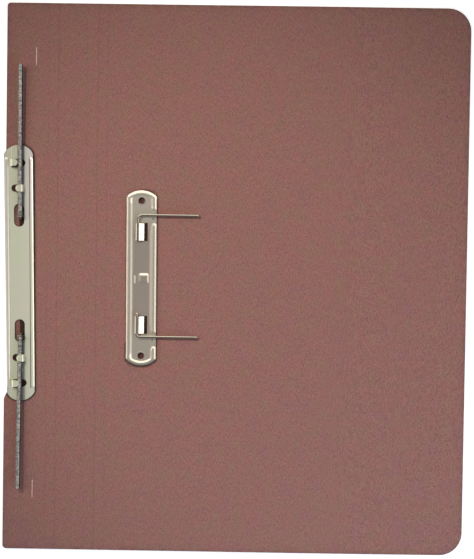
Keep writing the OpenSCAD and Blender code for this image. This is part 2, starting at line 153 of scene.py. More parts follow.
# %% Paths with round corners, and wires, turned pieces and straps
def filleted(corners, radii, steps=8):
    """A path through corners, each rounded by an arc. The arc starts and ends one tangent length from its
    corner, radius times the tangent of half the turn, and runs evenly in angle between its two radius
    vectors."""
    corners = np.asarray(corners, float)
    path = [corners[:1]]
    share = np.linspace(0, 1, steps + 1)[:, None]
    for before, corner, after, radius in zip(corners, corners[1:], corners[2:], radii):
        come, go = unit(corner - before), unit(after - corner)
        turn = math.acos(np.clip(come @ go, -1, 1))
        tangent = radius * math.tan(turn / 2)
        middle = corner + unit(go - come) * radius / math.cos(turn / 2)
        first, last = corner - come * tangent - middle, corner + go * tangent - middle
        arc = np.sin((1 - share) * turn) * first + np.sin(share * turn) * last
        path.append(middle + arc / math.sin(turn))
    return np.concatenate([*path, corners[-1:]])


def tube(path, radius, up, sides=16, dome=4):
    """Rings carried along a path. Each ring lies square to the path, on the side that the path's
    direction crossed with up gives, and smaller rings at sine and cosine steps close both ends as
    domes."""
    along = unit(np.gradient(path, axis=0))
    turn = np.linspace(0, math.pi / 2, dome + 2)[1:-1, None]
    head = path[0] - along[0] * radius * np.sin(turn[::-1])
    tail = path[-1] + along[-1] * radius * np.sin(turn)
    middle = np.concatenate([head, path, tail])
    small = radius * np.cos(turn[:, 0])
    size = np.concatenate([small[::-1], np.full(len(path), radius), small])[:, None, None]
    along = np.concatenate([along[:1].repeat(dome, 0), along, along[-1:].repeat(dome, 0)])
    beside = unit(np.cross(along, up))
    above = np.cross(beside, along)
    angle = np.linspace(0, 2 * math.pi, sides, endpoint=False)[None, :, None]
    rings = middle[:, None] + size * (np.cos(angle) * beside[:, None] + np.sin(angle) * above[:, None])
    index = np.arange(rings.shape[0] * sides).reshape(-1, sides)
    wrapped = np.concatenate([index, index[:, :1]], axis=1)
    return rings.reshape(-1, 3), [quads(wrapped), index[:1, ::-1], index[-1:]]


def turned(profile, middle, sides=56):
    """A closed profile of radii and heights carried round an upright axis, closed in both directions."""
    angle = np.linspace(0, 2 * math.pi, sides, endpoint=False)[None, :]
    radius, height = profile[:, :1], profile[:, 1:]
    rings = np.stack(
        [middle[0] + radius * np.cos(angle), middle[1] + radius * np.sin(angle), height + 0 * angle], axis=-1
    )
    index = np.arange(rings.shape[0] * sides).reshape(-1, sides)
    return rings.reshape(-1, 3), [quads(np.pad(index, ((0, 1), (0, 1)), mode="wrap"))]


def strap(path, half_width, thickness, columns=9):
    """A strip of sheet metal that follows a path of (x, z) points and lies across Y. The faces stand off
    the path by half the thickness along its normal, and half_width gives the strip's reach to each side
    at every point."""
    along = unit(np.gradient(path, axis=0))
    normal = np.stack([-along[:, 1], along[:, 0]], axis=-1)
    across = np.linspace(1, -1, columns)[None, :] * np.broadcast_to(half_width, len(path))[:, None]

    def face(offset):
        line = path + normal * offset
        return np.stack([line[:, :1] + 0 * across, across, line[:, 1:] + 0 * across], axis=-1)

    return shell(face(thickness / 2), face(-thickness / 2))


# %% Skins joined, moved, mirrored and laid as pieces
def join(*skins):
    """Several skins as one, each skin's corner numbers counted on from the last."""
    starts = np.cumsum([0] + [len(points) for points, _ in skins])
    faces = [block + start for (_, blocks), start in zip(skins, starts) for block in blocks]
    return np.concatenate([points for points, _ in skins]), faces


def moved(skin, place, turn=0.0):
    """A skin turned about Z by an angle in radians and then carried to a place."""
    points, faces = skin
    c, s = math.cos(turn), math.sin(turn)
    spin = np.array([[c, -s, 0], [s, c, 0], [0, 0, 1]])
    return points @ spin.T + place, faces


def mirrored(skin, axis):
    """A skin with one coordinate turned to its opposite. Faces are turned outwards when the piece is
    laid."""
    points, faces = skin
    flip = np.ones(3)
    flip[axis] = -1
    return points * flip, faces


def lay_piece(name, skin, finish, marks=None, crisp=38):
    """A skin in millimetres as a mesh object at the origin. Unused points are dropped, faces are turned
    outwards, edges sharper than crisp degrees stay sharp, and marks become point attributes."""
    points, blocks = skin
    used = np.unique(np.concatenate([block.ravel() for block in blocks]))
    number = np.zeros(len(points), int)
    number[used] = np.arange(len(used))
    mesh = bpy.data.meshes.new(name)
    faces = [face for block in blocks for face in number[block].tolist()]
    mesh.from_pydata((points[used] * MM).tolist(), [], faces)
    for mark, values in (marks or {}).items():
        layer = mesh.attributes.new(mark, "FLOAT", "POINT")
        layer.data.foreach_set("value", np.asarray(values, np.float32)[used])
    form = bmesh.new()
    form.from_mesh(mesh)
    bmesh.ops.recalc_face_normals(form, faces=form.faces)
    form.to_mesh(mesh)
    form.free()
    mesh.polygons.foreach_set("use_smooth", np.ones(len(mesh.polygons), bool))
    mesh.set_sharp_from_angle(angle=math.radians(crisp))
    mesh.materials.append(finish)
    piece = bpy.data.objects.new(name, mesh)
    bpy.context.scene.collection.objects.link(piece)
    print(f"{name}: {len(mesh.vertices)} points, {len(mesh.polygons)} faces")
    return piece


print("surface helpers are ready")

# %% [markdown]
# ## Openings in a grid
# The plates have round holes and round-ended slots. A Boolean cut would leave long thin faces, so here
# the grid itself makes room: a block of cells is left out, the block's border is drawn onto the opening's
# edge, and the cells round it ease back to straight lines.

# %% Openings that bend the grid round them
BLOCK_SHARE = 0.8


def edge_distance(dx, dy, half_x, half_y):
    """Distance from the middle of a round-ended slot to its edge along a direction. The ray meets the
    straight side if it gets there before the end's centre, and otherwise the end's circle. Equal halves
    give a circle."""
    length = np.maximum(np.hypot(dx, dy), 1e-9)
    across, along = np.abs(dx) / length, np.abs(dy) / length
    if half_x > half_y:
        across, along, half_x, half_y = along, across, half_y, half_x
    core = half_y - half_x
    side = half_x / np.maximum(across, 1e-9)
    end = core * along + np.sqrt(np.maximum(half_x**2 - (core * across) ** 2, 0))
    return np.where(side * along <= core, side, end)


def block_halves(half_x, half_y):
    """Half sizes of the block of cells that is left out for an opening."""
    corner = (1 - BLOCK_SHARE) * min(half_x, half_y)
    return half_x - corner, half_y - corner


def opening_stops(openings, axis):
    """Grid lines that the openings' blocks need along one axis."""
    return [o[axis] + sign * block_halves(*o[2:])[axis] for o in openings for sign in (-1, 1)]


def cut_openings(x, y, openings, reach):
    """Bends a straight grid round openings, each (middle x, middle y, half width, half length). Returns
    the new x and y and which cells are kept. A point beyond the block moves as its block border does,
    less with distance."""
    bent_x, bent_y = x.copy(), y.copy()
    middle_x, middle_y = (x[:-1, :-1] + x[1:, 1:]) / 2, (y[:-1, :-1] + y[1:, 1:]) / 2
    kept = np.ones(middle_x.shape, bool)
    for place_x, place_y, half_x, half_y in openings:
        block_x, block_y = block_halves(half_x, half_y)
        dx, dy = x - place_x, y - place_y
        ring = np.maximum(np.maximum(np.abs(dx) / block_x, np.abs(dy) / block_y), 1e-9)
        beyond = np.maximum(np.abs(dx) - block_x, np.abs(dy) - block_y)
        border_x, border_y = dx / ring, dy / ring
        stretch = edge_distance(dx, dy, half_x, half_y) / np.maximum(np.hypot(border_x, border_y), 1e-9) - 1
        move = np.where(ring > 0.999, stretch * ease(1 - beyond / reach), 0)
        bent_x += move * border_x
        bent_y += move * border_y
        kept &= np.maximum(np.abs(middle_x - place_x) / block_x, np.abs(middle_y - place_y) / block_y) > 1
    return bent_x, bent_y, kept


print("openings are ready")

# %% [markdown]
# ## Finishes as arithmetic
# A finish is a tree of shader nodes. Wiring dozens of Math nodes by hand hides the idea, so a small class
# wraps a socket and lets Python's own operators add the Math nodes: `1 - mask` or `grain * 0.2` read as
# they compute. Any other node comes from one method that sets its options first and then its sockets.


# %% A socket that does arithmetic
class Socket:
    """One output of a shader node. Arithmetic on it adds a Math node and gives that node's output."""

    def __init__(self, finish, output):
        self.finish = finish
        self.output = output

    def math(self, operation, first, second):
        return self.finish.add("ShaderNodeMath", {"operation": operation}, {0: first, 1: second})

    def __add__(self, other):
        return self.math("ADD", self, other)

    __radd__ = __add__

    def __sub__(self, other):
        return self.math("SUBTRACT", self, other)

    def __rsub__(self, other):
        return self.math("SUBTRACT", other, self)

    def __mul__(self, other):
        return self.math("MULTIPLY", self, other)

    __rmul__ = __mul__


# %% A finish that adds nodes
class Finish:
    """A tree of shader nodes, of a material or of the world's background."""

    def __init__(self, block):
        block.use_nodes = True
        self.tree = block.node_tree

    def add(self, kind, settings=None, inputs=None, output=0):
        """A node of a kind with its settings, then its socket values or links. Returns one of its
        outputs."""
        node = self.tree.nodes.new(kind)
        for setting, value in (settings or {}).items():
            if setting == "stops":
                self.set_stops(node.color_ramp, value)
            else:
                setattr(node, setting, value)
        self.feed(node, inputs or {})
        return Socket(self, node.outputs[output])

    def feed(self, node, inputs):
        """Puts values on a node's sockets, or links other nodes' outputs to them."""
        for name, value in inputs.items():
            if isinstance(value, Socket):
                self.tree.links.new(value.output, node.inputs[name])
            else:
                node.inputs[name].default_value = value

    @staticmethod
    def set_stops(ramp, stops):
        while len(ramp.elements) < len(stops):
            ramp.elements.new(1.0)
        for element, (place, colour) in zip(ramp.elements, stops):
            element.position = place
            element.color = (*colour, 1.0)

    def here(self, stretch=(1, 1, 1), turn=(0, 0, 0)):
        """Object coordinates in millimetres, stretched and turned."""
        coordinates = self.add("ShaderNodeTexCoord", output="Object")
        scale = [s / MM for s in stretch]
        return self.add("ShaderNodeMapping", {}, {"Vector": coordinates, "Scale": scale, "Rotation": turn})

    def noise(self, size, detail=2.0, rough=0.5, stretch=(1, 1, 1), turn=(0, 0, 0)):
        """Smooth noise with features of a size in millimetres, from 0 to 1."""
        inputs = {"Vector": self.here(stretch, turn), "Scale": 1 / size, "Detail": detail, "Roughness": rough}
        return self.add("ShaderNodeTexNoise", {}, inputs)

    def mark(self, name):
        """A point attribute of the piece, as a number."""
        return self.add("ShaderNodeAttribute", {"attribute_name": name}, output="Fac")

    def shown(self):
        """1 on the rays that show a background: straight to the camera, off metal and through glass."""
        rays = ("Is Camera Ray", "Is Glossy Ray", "Is Transmission Ray")
        return sum(self.add("ShaderNodeLightPath", output=ray) for ray in rays)

    def ramp(self, value, stops):
        """A number turned into a colour, or a grey, by a row of stops."""
        return self.add("ShaderNodeValToRGB", {"stops": stops}, {"Fac": value})

    def band(self, value, low, high):
        """A number run from 0 at low to 1 at high."""
        inputs = {"Value": value, "From Min": low, "From Max": high}
        return self.add("ShaderNodeMapRange", {"interpolation_type": "SMOOTHSTEP"}, inputs)

    def mix(self, share, first, second, way="MIX"):
        """Two colours mixed by a share."""
        settings = {"data_type": "RGBA", "blend_type": way, "clamp_factor": True}
        return self.add("ShaderNodeMix", settings, {0: share, 6: first, 7: second}, output=2)

    def bump(self, height, depth):
        """A normal from a height, with the full range of the height standing for a depth in
        millimetres."""
        return self.add("ShaderNodeBump", {}, {"Height": height, "Distance": depth * MM, "Strength": 1.0})

    def surface(self, **inputs):
        """Feeds the main shader's sockets. Names have underscores for spaces."""
        shader = self.tree.nodes["Principled BSDF"]
        self.feed(shader, {name.replace("_", " "): value for name, value in inputs.items()})
        return Socket(self, shader.outputs[0])


print("finishes are ready")

# %% [markdown]
# ## Manila board
# Manila is thick unbleached paper, here dyed a rose brown. Close up it is a felt of short fibres: tiny light
# and dark flecks, slow cloudy patches a few millimetres wide where the dye took more or less, and a faint
# tooth that keeps it matt. The cut edges are rubbed darker, the scored lines are painted darker as shade in
# their grooves, and painted shade darkens the openings of the fittings and a line round each fitting. The
# patches come from broad noise that mixes two close hues, the flecks from fine noise that only changes
# lightness, and the rubbing and the painted shade from attributes that the sheet's own grid carries.

# %% The manila finish
ROSE = (0.302, 0.136, 0.119, 1)
UMBER = (0.276, 0.145, 0.113, 1)
PLUM = (0.284, 0.132, 0.134, 1)
# This brown darkens the rubbed cut edges, and is painted shade along the scored grooves.
RUBBED_AND_SHADE = (0.105, 0.060, 0.046, 1)
# This near black is painted shade: in the fittings' openings, round the fittings and on the metal.
SHADE_COLOUR = (0.020, 0.010, 0.008, 1)


def make_manila():
    """Rose-brown board: cloudy hue, fine flecks and fibres, painted shade in the scores and the openings, and
    rubbed edges.
    """
    manila = bpy.data.materials.new("manila_board")
    finish = Finish(manila)
    cloud = finish.band(finish.noise(8.0, 1.5, 0.5), 0.30, 0.70)
    hue = finish.mix(cloud, ROSE, UMBER)
    plum = finish.band(finish.noise(13.0, 1.5), 0.45, 0.75)
    hue = finish.mix(plum * 0.6, hue, PLUM)
    fleck = finish.noise(0.62, 2.0, 0.6)
    fibre_a = finish.noise(0.5, 1.0, 0.5, stretch=(1, 0.22, 1), turn=(0, 0, 0.9))
    fibre_b = finish.noise(0.5, 1.0, 0.5, stretch=(1, 0.22, 1), turn=(0, 0, -0.8))
    felt = fleck * 0.6 + fibre_a * 0.2 + fibre_b * 0.2
    tone = finish.ramp(felt, [(0.28, (0.48, 0.48, 0.48)), (0.5, (1.0, 1.0, 1.0)), (0.72, (1.52, 1.52, 1.52))])
    colour = finish.mix(1.0, hue, tone, "MULTIPLY")
    # The scored lines are painted darker, as shade in their grooves.
    colour = finish.mix(finish.mark("score") * 0.12, colour, RUBBED_AND_SHADE)
    frayed = finish.mark("rim") * finish.band(finish.noise(3.0, 3.0), 0.25, 0.75) * 0.7
    colour = finish.mix(frayed, colour, RUBBED_AND_SHADE)
    # Painted shade: the openings of the fittings and a line round each fitting are darkened.
    colour = finish.mix(finish.mark("soil") * 0.92, colour, SHADE_COLOUR)
    tooth = finish.noise(0.4, 3.0, 0.6) * 0.5 + felt * 0.5
    finish.surface(
        Base_Color=colour,
        Roughness=0.86 + 0.12 * (0.5 - felt),
        Normal=finish.bump(tooth, 0.04),
        Specular_IOR_Level=0.22,
    )
    return manila


manila = make_manila()
print("manila finish made with", len(manila.node_tree.nodes), "nodes")

# %% [markdown]
# ## Plated steel
# The two fittings are thin pressed steel with a dull bright plating, and the prongs, springs and staples are
# drawn wire of the same kind. Old plating is only partly a mirror and the rest of it is matt, so a metal
# share below one mixes the two. The tint is nearly even, with slow clouds where the plating is thicker, and
# the roughness carries draw marks along the strip, soft finger smears and a few fine scratches. Two
# attributes of a piece change that by place: tone brings in a third, paler tint, which on the transfer plate
# is a painted highlight, and painted shade is dark and matt.


# %% The metal finishes
def make_steel(name, tint, warm, rough, metal=1.0, draw=(1, 0.05, 1), size=0.5, cloud=16.0, toned=None):
    """Plated steel: two tints in clouds of a size, draw marks, smears and scratches in its roughness. A metal
    share below one leaves the rest of the plating matt. A tone mark brings in a third tint, and painted shade
    marks are neither bright nor metal."""
    steel = bpy.data.materials.new(name)
    finish = Finish(steel)
    patch = finish.band(finish.noise(cloud, 2.0), 0.3, 0.7)
    drawn = finish.noise(size, 3.0, 0.6, stretch=draw)
    speck = finish.band(finish.noise(0.7, 2.0), 0.68, 0.80)
    smear = finish.band(finish.noise(5.0, 3.0, 0.55, turn=(0, 0, 0.6)), 0.45, 0.75)
    scratch = finish.band(finish.noise(1.1, 1.0, 0.5, stretch=(1, 0.03, 1), turn=(0, 0, 0.35)), 0.71, 0.75)
    colour = finish.mix(patch, (*tint, 1), (*warm, 1))
    colour = finish.mix(finish.mark("tone"), colour, (*(toned or warm), 1))
    colour = finish.mix(speck * 0.16, colour, (0.16, 0.14, 0.11, 1))
    # Painted shade: dark and matt wherever a piece is marked.
    soil = finish.mark("soil")
    finish.surface(
        Base_Color=finish.mix(soil, colour, SHADE_COLOUR),
        Metallic=metal * (1 - soil),
        Roughness=rough + 0.05 * (drawn - 0.5) + 0.03 * smear + 0.08 * scratch,
        Normal=finish.bump(drawn * 0.7 - scratch * 0.3, 0.0015),
    )
    return steel


bright_plate = make_steel(
    "bright_plate", (0.485, 0.425, 0.365), (0.515, 0.435, 0.38), 0.19, metal=0.6, toned=(0.74, 0.69, 0.58)
)
dull_plate = make_steel(
    "dull_plate", (0.80, 0.825, 0.625), (0.82, 0.81, 0.645), 0.20, metal=0.45, toned=(0.90, 0.85, 0.80)
)
drawn_wire = make_steel(
    "drawn_wire", (0.36, 0.325, 0.28), (0.40, 0.36, 0.315), 0.22, draw=(0.06, 1, 1), size=0.3
)
spring_wire = make_steel(
    "spring_wire", (0.14, 0.15, 0.16), (0.50, 0.49, 0.46), 0.28, draw=(1, 1, 1), size=0.3, cloud=1.4
)
staple_wire = make_steel("staple_wire", (0.86, 0.74, 0.68), (0.88, 0.78, 0.68), 0.28, size=0.3)
print("steel finishes made")

# %% [markdown]
# ## The scored sheet
# The file is one board with five scored lines near its left edge. Two of them are the folds of the spine.
# The sheet is made in two pieces that meet in the bottom of a score, and each piece crosses one fold. A score
# is a shallow pressed groove with a low shoulder on each side, and the fore edge droops to the table where
# nothing lies under it.

# %% Lines and levels of the sheet, from the frame
back_low, back_high = node_box("back_cover")
strip_low = node_box("binding_strip")[0]
bind_x, fore_x, half_h = strip_low[0], back_high[0], back_high[1]
board_z, top_z = back_low[2], back_high[2]
board_t = top_z - board_z
strip_fold_x = joint_place("strip_fold")[0]
spine_fold_x = joint_place("spine_fold")[0]

FORE_CORNER_R = 15.0
BIND_CORNER_R = 2.3
NOTCH = 2.8
NOTCH_IN = {"lower": 0.0, "upper": 4.0}
NOTCH_RUN = {"lower": 8.5, "upper": 1.0}
SCORE_INSET = 6.5
LIGHT_SCORE_INSET = 13.8
SCORE_DEPTH = 0.10
SCORE_HALF = 0.36
SHOULDER_OUT = 0.9
DROOP = 1.2
DROOP_FROM = 45.0
RIM_RUB = 1.6
SCORE_FADE = 0.55

seam_x = strip_fold_x + SCORE_INSET
scores = [
    (strip_fold_x, 0.6),
    (seam_x, 1.0),
    (spine_fold_x - LIGHT_SCORE_INSET, 0.4),
    (spine_fold_x - SCORE_INSET, 1.0),
    (spine_fold_x, 0.6),
]
WINDOW_W, WINDOW_L, WINDOW_OUT = 8.1, 11.9, 30.6
HOOKS = {"inner": (3.0, 55.8, 4.6, 8.0, -1), "outer": (-4.9, 72.6, 4.6, 9.3, 1)}
plate_low, plate_high = node_box("transfer_plate")
plate_middle = (plate_low + plate_high) / 2
coil_low, coil_high = node_box("coil_plate")
coil_middle = (coil_low + coil_high) / 2
END_BOW = 4.0
half_w, half_l = (plate_high - plate_low)[:2] / 2
end_r = (half_w**2 + END_BOW**2) / (2 * END_BOW)
COIL_PLATE_W, COIL_PLATE_L = 19.3, 168.4
COIL_END_R = 11.0
half_cw, half_cl = COIL_PLATE_W / 2, COIL_PLATE_L / 2
lift_axis = joints["coil_upper_lift"]["axis"]
skew = math.atan2(lift_axis[1], lift_axis[0])
eyelet_nodes = ("eyelet_upper", "eyelet_lower")
PLATE_TURN = math.radians(0.35)


def turn_with_plate(place):
    """A place near the transfer plate, carried round the plate's middle as the plate lies a little
    askew."""
    dx, dy = place[0] - plate_middle[0], place[1] - plate_middle[1]
    c, s = math.cos(PLATE_TURN), math.sin(PLATE_TURN)
    return np.array([plate_middle[0] + c * dx - s * dy, plate_middle[1] + s * dx + c * dy, place[2]])


eyelet_places = [turn_with_plate(sum(node_box(name)) / 2) for name in eyelet_nodes]
print("sheet", fore_x - bind_x, "x", 2 * half_h, "mm, scores at", [round(x - bind_x, 1) for x, _ in scores])


# %% The sheet's surface
def score_relief(x):
    """Height of the scored face: each score is a bell-shaped groove, less two lower bells for its
    shoulders."""
    relief = np.zeros_like(x)
    for line, depth in scores:
        away = np.abs(x - line)
        groove = np.exp(-((away / SCORE_HALF) ** 2))
        shoulder = np.exp(-(((away - SHOULDER_OUT) / SCORE_HALF) ** 2))
        relief += depth * SCORE_DEPTH * (0.3 * shoulder - groove)
    return relief


def droop(x):
    """How far the sheet hangs below its own level towards the fore edge."""
    return DROOP * ease((x - DROOP_FROM) / (fore_x - DROOP_FROM))


def corner_pull(y, half, radius):
    """How far a round corner draws the edge in at height y: the radius less the chord of its circle."""
    over = np.clip(np.abs(y) - (half - radius), 0, radius)
    return radius - np.sqrt(radius**2 - over**2)


def notch(y):
    """How far the binding edge is cut back under the coil plate: a step with eased ends, slow at the
    lower one."""
    lower = (y - coil_low[1] - NOTCH_IN["lower"]) / NOTCH_RUN["lower"]
    upper = (coil_high[1] - NOTCH_IN["upper"] - y) / NOTCH_RUN["upper"]
    return NOTCH * ease(np.minimum(lower, upper))


def corner_rows(half, radius, count):
    """Heights at even angles round a corner, at the top and the bottom of a sheet."""
    rows = half - radius + radius * np.sin(np.linspace(0, math.pi / 2, count + 1))
    return [*rows, *-rows]


# %% Marks on the board: painted shade, rubbed edges and the painted shadow round a fitting
# Strength and reach of the painted shadow round a fitting.
SHADOW_LINE = {"shade": 1.0, "light": 0.3}
SHADOW_FADE = 1.0


def shaded_spots(x, y, spots):
    """Painted shade that is 1 in an opening, where shade falls: a flat-topped bell over each (middle x, y,
    half x, half y)."""
    bells = [np.exp(-(((x - px) / hx) ** 4) - ((y - py) / hy) ** 4) for px, py, hx, hy in spots]
    return sum(bells, 0 * x)


def rubbed_edge(distance):
    """Mark that is 1 on the cut edge and fades inwards."""
    return np.exp(-np.maximum(distance, 0) / RIM_RUB)


def edge_depth(x, y, half_width, half_length, radius, blend=0.45):
    """Distance inside a plate's outline: the lesser of the distances to its sides and to its end arcs,
    with the corner between them rounded by a soft minimum."""
    side = half_width - np.abs(x)
    end = radius - np.hypot(x, np.maximum(np.abs(y) - (half_length - radius), 0))
    end = np.where(np.abs(y) > half_length - radius, end, half_width * 2)
    low = np.minimum(side, end)
    return low - blend * np.log(np.exp(-(side - low) / blend) + np.exp(-(end - low) / blend))


def fitting_shadow(x, y, middle, turn, half_width, half_length, radius):
    """Painted shadow of a fitting on the board: a dark line that fades outwards from the fitting's outline
    and is stronger to the right and below, where the light leaves it."""
    c, s = math.cos(turn), math.sin(turn)
    dx, dy = x - middle[0], y - middle[1]
    across, along = c * dx + s * dy, c * dy - s * dx
    outside = np.maximum(-edge_depth(across, along, half_width, half_length, radius), 0)
    shaded = (across > 0) | (along < radius - half_length)
    strength = np.where(shaded, SHADOW_LINE["shade"], SHADOW_LINE["light"])
    return strength * np.exp(-((outside / SHADOW_FADE) ** 2))


# %% One part of the scored sheet
SHEET_STEP = 3.0


def sheet_piece(name, x_stops, y_lines, left_r, right_r, spots, fitting, openings=()):
    """Part of the scored sheet between its first and last stop, with its own corner radius on each side.
    The corners pull the grid in at the border and, by a steep power of the way across, hardly at all
    further in."""
    x_lines = ruled([*x_stops, *opening_stops(openings, 0)], SHEET_STEP)
    x, y = np.meshgrid(x_lines, y_lines)
    first, last = x_lines[0], x_lines[-1]
    x, y, kept = cut_openings(x, y, openings, 3.0)
    share = (x - first) / (last - first)
    left = np.maximum(corner_pull(y, half_h, left_r), notch(y)) if left_r else 0 * y
    right = corner_pull(y, half_h, right_r) if right_r else 0 * y
    edge = half_h - np.abs(y)
    x = x + (1 - share) ** 6 * left - share**6 * right
    edge = np.minimum(edge, x - first - left) if left_r else edge
    edge = np.minimum(edge, last - right - x) if right_r else edge
    relief = score_relief(x)
    sunk = droop(x)
    top = np.stack([x, y, top_z + relief - sunk], axis=-1)
    bottom = np.stack([x, y, board_z + 0.5 * relief - sunk], axis=-1)
    mark = sum(depth * np.exp(-(((x - line) / SCORE_FADE) ** 2)) for line, depth in scores)
    # Painted shade: dark spots in the openings and the painted shadow round the fitting.
    soil = np.maximum(np.clip(shaded_spots(x, y, spots), 0, 1), fitting_shadow(x, y, *fitting))
    marks = {"score": mark, "rim": rubbed_edge(edge), "soil": soil}
    marks = {name: np.tile(values.ravel(), 2) for name, values in marks.items()}
    return lay_piece(name, shell(top, bottom, kept), manila, marks)


# %% Where painted shade shows through the fittings
SHADE_STEPS = np.array([-1.3, -1.0, -0.7, -0.35, 0, 0.35, 0.7, 1.0, 1.3])
GAP_IN, GAP_HALF = 3.05, 1.35
LANCE_HALF = 2.3
plate_outline = (plate_middle, PLATE_TURN, half_w, half_l, end_r)
coil_outline = (coil_middle, skew, half_cw, half_cl, COIL_END_R)
# The board under each window's gap and each lance hole is painted dark, as shade.
window_gaps = [
    (plate_middle[0] + GAP_IN, plate_middle[1] + sign * WINDOW_OUT, GAP_HALF, WINDOW_L / 2)
    for sign in (-1, 1)
]
lance_holes = []
for root, out, _, length, way in HOOKS.values():
    for sign in (-1, 1):
        across, along = root + way * (length - LANCE_HALF), sign * out
        place_x = coil_middle[0] + across * math.cos(skew) - along * math.sin(skew)
        place_y = coil_middle[1] + across * math.sin(skew) + along * math.cos(skew)
        lance_holes.append((place_x, place_y, LANCE_HALF, LANCE_HALF))


def shade_stops(spots, axis):
    """Grid lines close enough round each spot to carry its mark."""
    return [line for spot in spots for line in spot[axis] + spot[2 + axis] * SHADE_STEPS]


# Each of these openings gets painted shade on the board under it.
print(len(window_gaps) + len(lance_holes), "openings show dirt on the board")

# %% Grid lines of the sheet
score_stops = [line + off for line, _ in scores for off in (-1.6, -0.9, -0.45, -0.2, 0, 0.2, 0.45, 0.9, 1.6)]
edge_stops = [0.4, 1.0, 2.0, 4.0]
eyelet_bore = 2.55
eyelet_holes = [(p[0], p[1], eyelet_bore, eyelet_bore) for p in eyelet_places]
y_stops = [
    *corner_rows(half_h, FORE_CORNER_R, 16),
    *corner_rows(half_h, BIND_CORNER_R, 5),
    *[sign * (half_h - e) for e in edge_stops for sign in (-1, 1)],
    *opening_stops(eyelet_holes, 1),
    *[p[1] + off for p in eyelet_places for off in (-4, -3, -1, 0, 1, 3, 4)],
    *shade_stops(window_gaps + lance_holes, 1),
    *(coil_low[1] + NOTCH_IN["lower"] + NOTCH_RUN["lower"] * np.linspace(0, 1, 9)),
    *(coil_high[1] - NOTCH_IN["upper"] - NOTCH_RUN["upper"] * np.linspace(0, 1, 5)),
]
y_stops += [plate_middle[1] + sign * (half_l + off) for off in np.arange(-4.4, 1.7, 0.4) for sign in (-1, 1)]
y_stops += [coil_middle[1] + sign * (half_cl + off) for off in np.arange(-5, 1.7, 0.6) for sign in (-1, 1)]
y_lines = ruled(y_stops, SHEET_STEP)
strip_stops = [
    bind_x,
    *(coil_middle[0] + half_cw + np.arange(-1.8, 3.2, 0.3)),
    *[bind_x + e for e in edge_stops],
    *shade_stops(lance_holes, 0),
    *[s for s in score_stops if s < seam_x],
    seam_x,
]
back_stops = [
    *[s for s in score_stops if s > seam_x],
    seam_x,
    *[p[0] + off for p in eyelet_places for off in (-4, -3, 3, 4)],
    *shade_stops(window_gaps, 0),
    *[plate_middle[0] + sign * (half_w + off) for off in np.arange(-0.6, 1.7, 0.3) for sign in (-1, 1)],
    *[fore_x - e for e in edge_stops],
    fore_x,
]
print("sheet grid has", len(y_lines), "rows")

# %% The sheet, laid in two pieces
manila_strip = sheet_piece("manila_strip", strip_stops, y_lines, BIND_CORNER_R, 0, lance_holes, coil_outline)
manila_back = sheet_piece(
    "manila_back", back_stops, y_lines, 0, FORE_CORNER_R, window_gaps, plate_outline, eyelet_holes
)


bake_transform(manila_strip)
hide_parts("binding_strip", "spine_panel")
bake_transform(manila_back)
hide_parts("back_cover", "spine_panel")
print("sheet laid in two pieces that meet at", round(seam_x - bind_x, 1), "mm from the binding edge")

# %% [markdown]
# ## The front cover, folded back
# The staples hold a second board under the binding strip: the front cover. In the opened file it is
# turned back flat underneath, so only its fold shows, from the side. Board and fold are one surface: a
# path goes along the stapled band, round the fold and back along the cover, and the sheet's two faces
# stand off it by half a board.

# %% The path of the front cover's band, fold and board
front_low, front_high = node_box("front_cover")
band_low, band_high = node_box("front_cover_band")
band_z = (band_low[2] + band_high[2]) / 2
front_z = (front_low[2] + front_high[2]) / 2
fold_r = (band_z - front_z) / 2
fold_x = bind_x + NOTCH + fold_r + board_t / 2

fold_z = front_z + fold_r
turn = np.linspace(math.pi / 2, 1.5 * math.pi, 16)
fold_arc = np.stack([fold_x + fold_r * np.cos(turn), fold_z + fold_r * np.sin(turn)], axis=-1)
band_x = ruled([fold_x, band_high[0] - 1, band_high[0]], 4.0)[:0:-1]
CREASE = 0.012
# The front cover under each eyelet's bore is painted dark, as shade in the bore.
BORE_SHADE = 0.7
bore_spots = [(p[0], p[1], 2.6, 2.6) for p in eyelet_places]
front_stops = [fold_x, front_high[0] - 2, front_high[0] - 0.5, front_high[0], *shade_stops(bore_spots, 0)]
front_x = ruled(front_stops, 4.0)[1:]
path = np.concatenate(
    [
        np.stack([band_x, band_z + 0 * band_x], axis=-1),
        fold_arc,
        np.stack([front_x, front_z + 0 * front_x], axis=-1),
    ]
)
along = unit(np.gradient(path, axis=0))
normal = np.stack([along[:, 1], -along[:, 0]], axis=-1)
front_half = front_high[1]
front_stops = [*corner_rows(front_half, FORE_CORNER_R, 16), 1 - front_half, front_half - 1]
front_rows = ruled([*front_stops, *shade_stops(bore_spots, 1)], 6.0)
on_cover = np.arange(len(path)) >= len(band_x)
travel = np.clip((path[:, 0] - fold_x) / (front_high[0] - fold_x), 0, 1) * on_cover
print("front cover folds round", round(fold_r, 2), "mm")


# %% The front cover's faces and marks
def front_face(offset):
    """One face of the front cover: the path moved along its normal, and drawn in at the two far
    corners."""
    line = path + normal * offset
    pull = corner_pull(front_rows, front_half, FORE_CORNER_R)[:, None] * travel[None, :] ** 6
    across = line[None, :, 0] - pull
    rows = front_rows[:, None] + 0 * across
    return np.stack([across, rows, line[None, :, 1] + 0 * across], axis=-1)


to_side = front_half - np.abs(front_rows)[:, None]
to_end = np.where(travel == 0, front_half, front_high[0] - path[:, 0])[None, :]
edge = np.minimum(to_side, to_end)
across, rows = np.broadcast_arrays(path[None, :, 0], front_rows[:, None])
bore_shade_mark = BORE_SHADE * shaded_spots(across, rows, bore_spots).ravel()
marks = {
    "rim": np.tile(rubbed_edge(edge).ravel(), 2),
    "score": np.zeros(2 * edge.size),
    "soil": np.concatenate([0 * bore_shade_mark, bore_shade_mark]),
}
front_skin = shell(front_face(board_t / 2), front_face(-board_t / 2))
front = lay_piece("manila_front", front_skin, manila, marks)
crease = [(MM * fold_x, 0, MM * (fold_z + off)) for off in (CREASE, -CREASE)]
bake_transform(front)
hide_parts("front_cover", "front_cover_band")
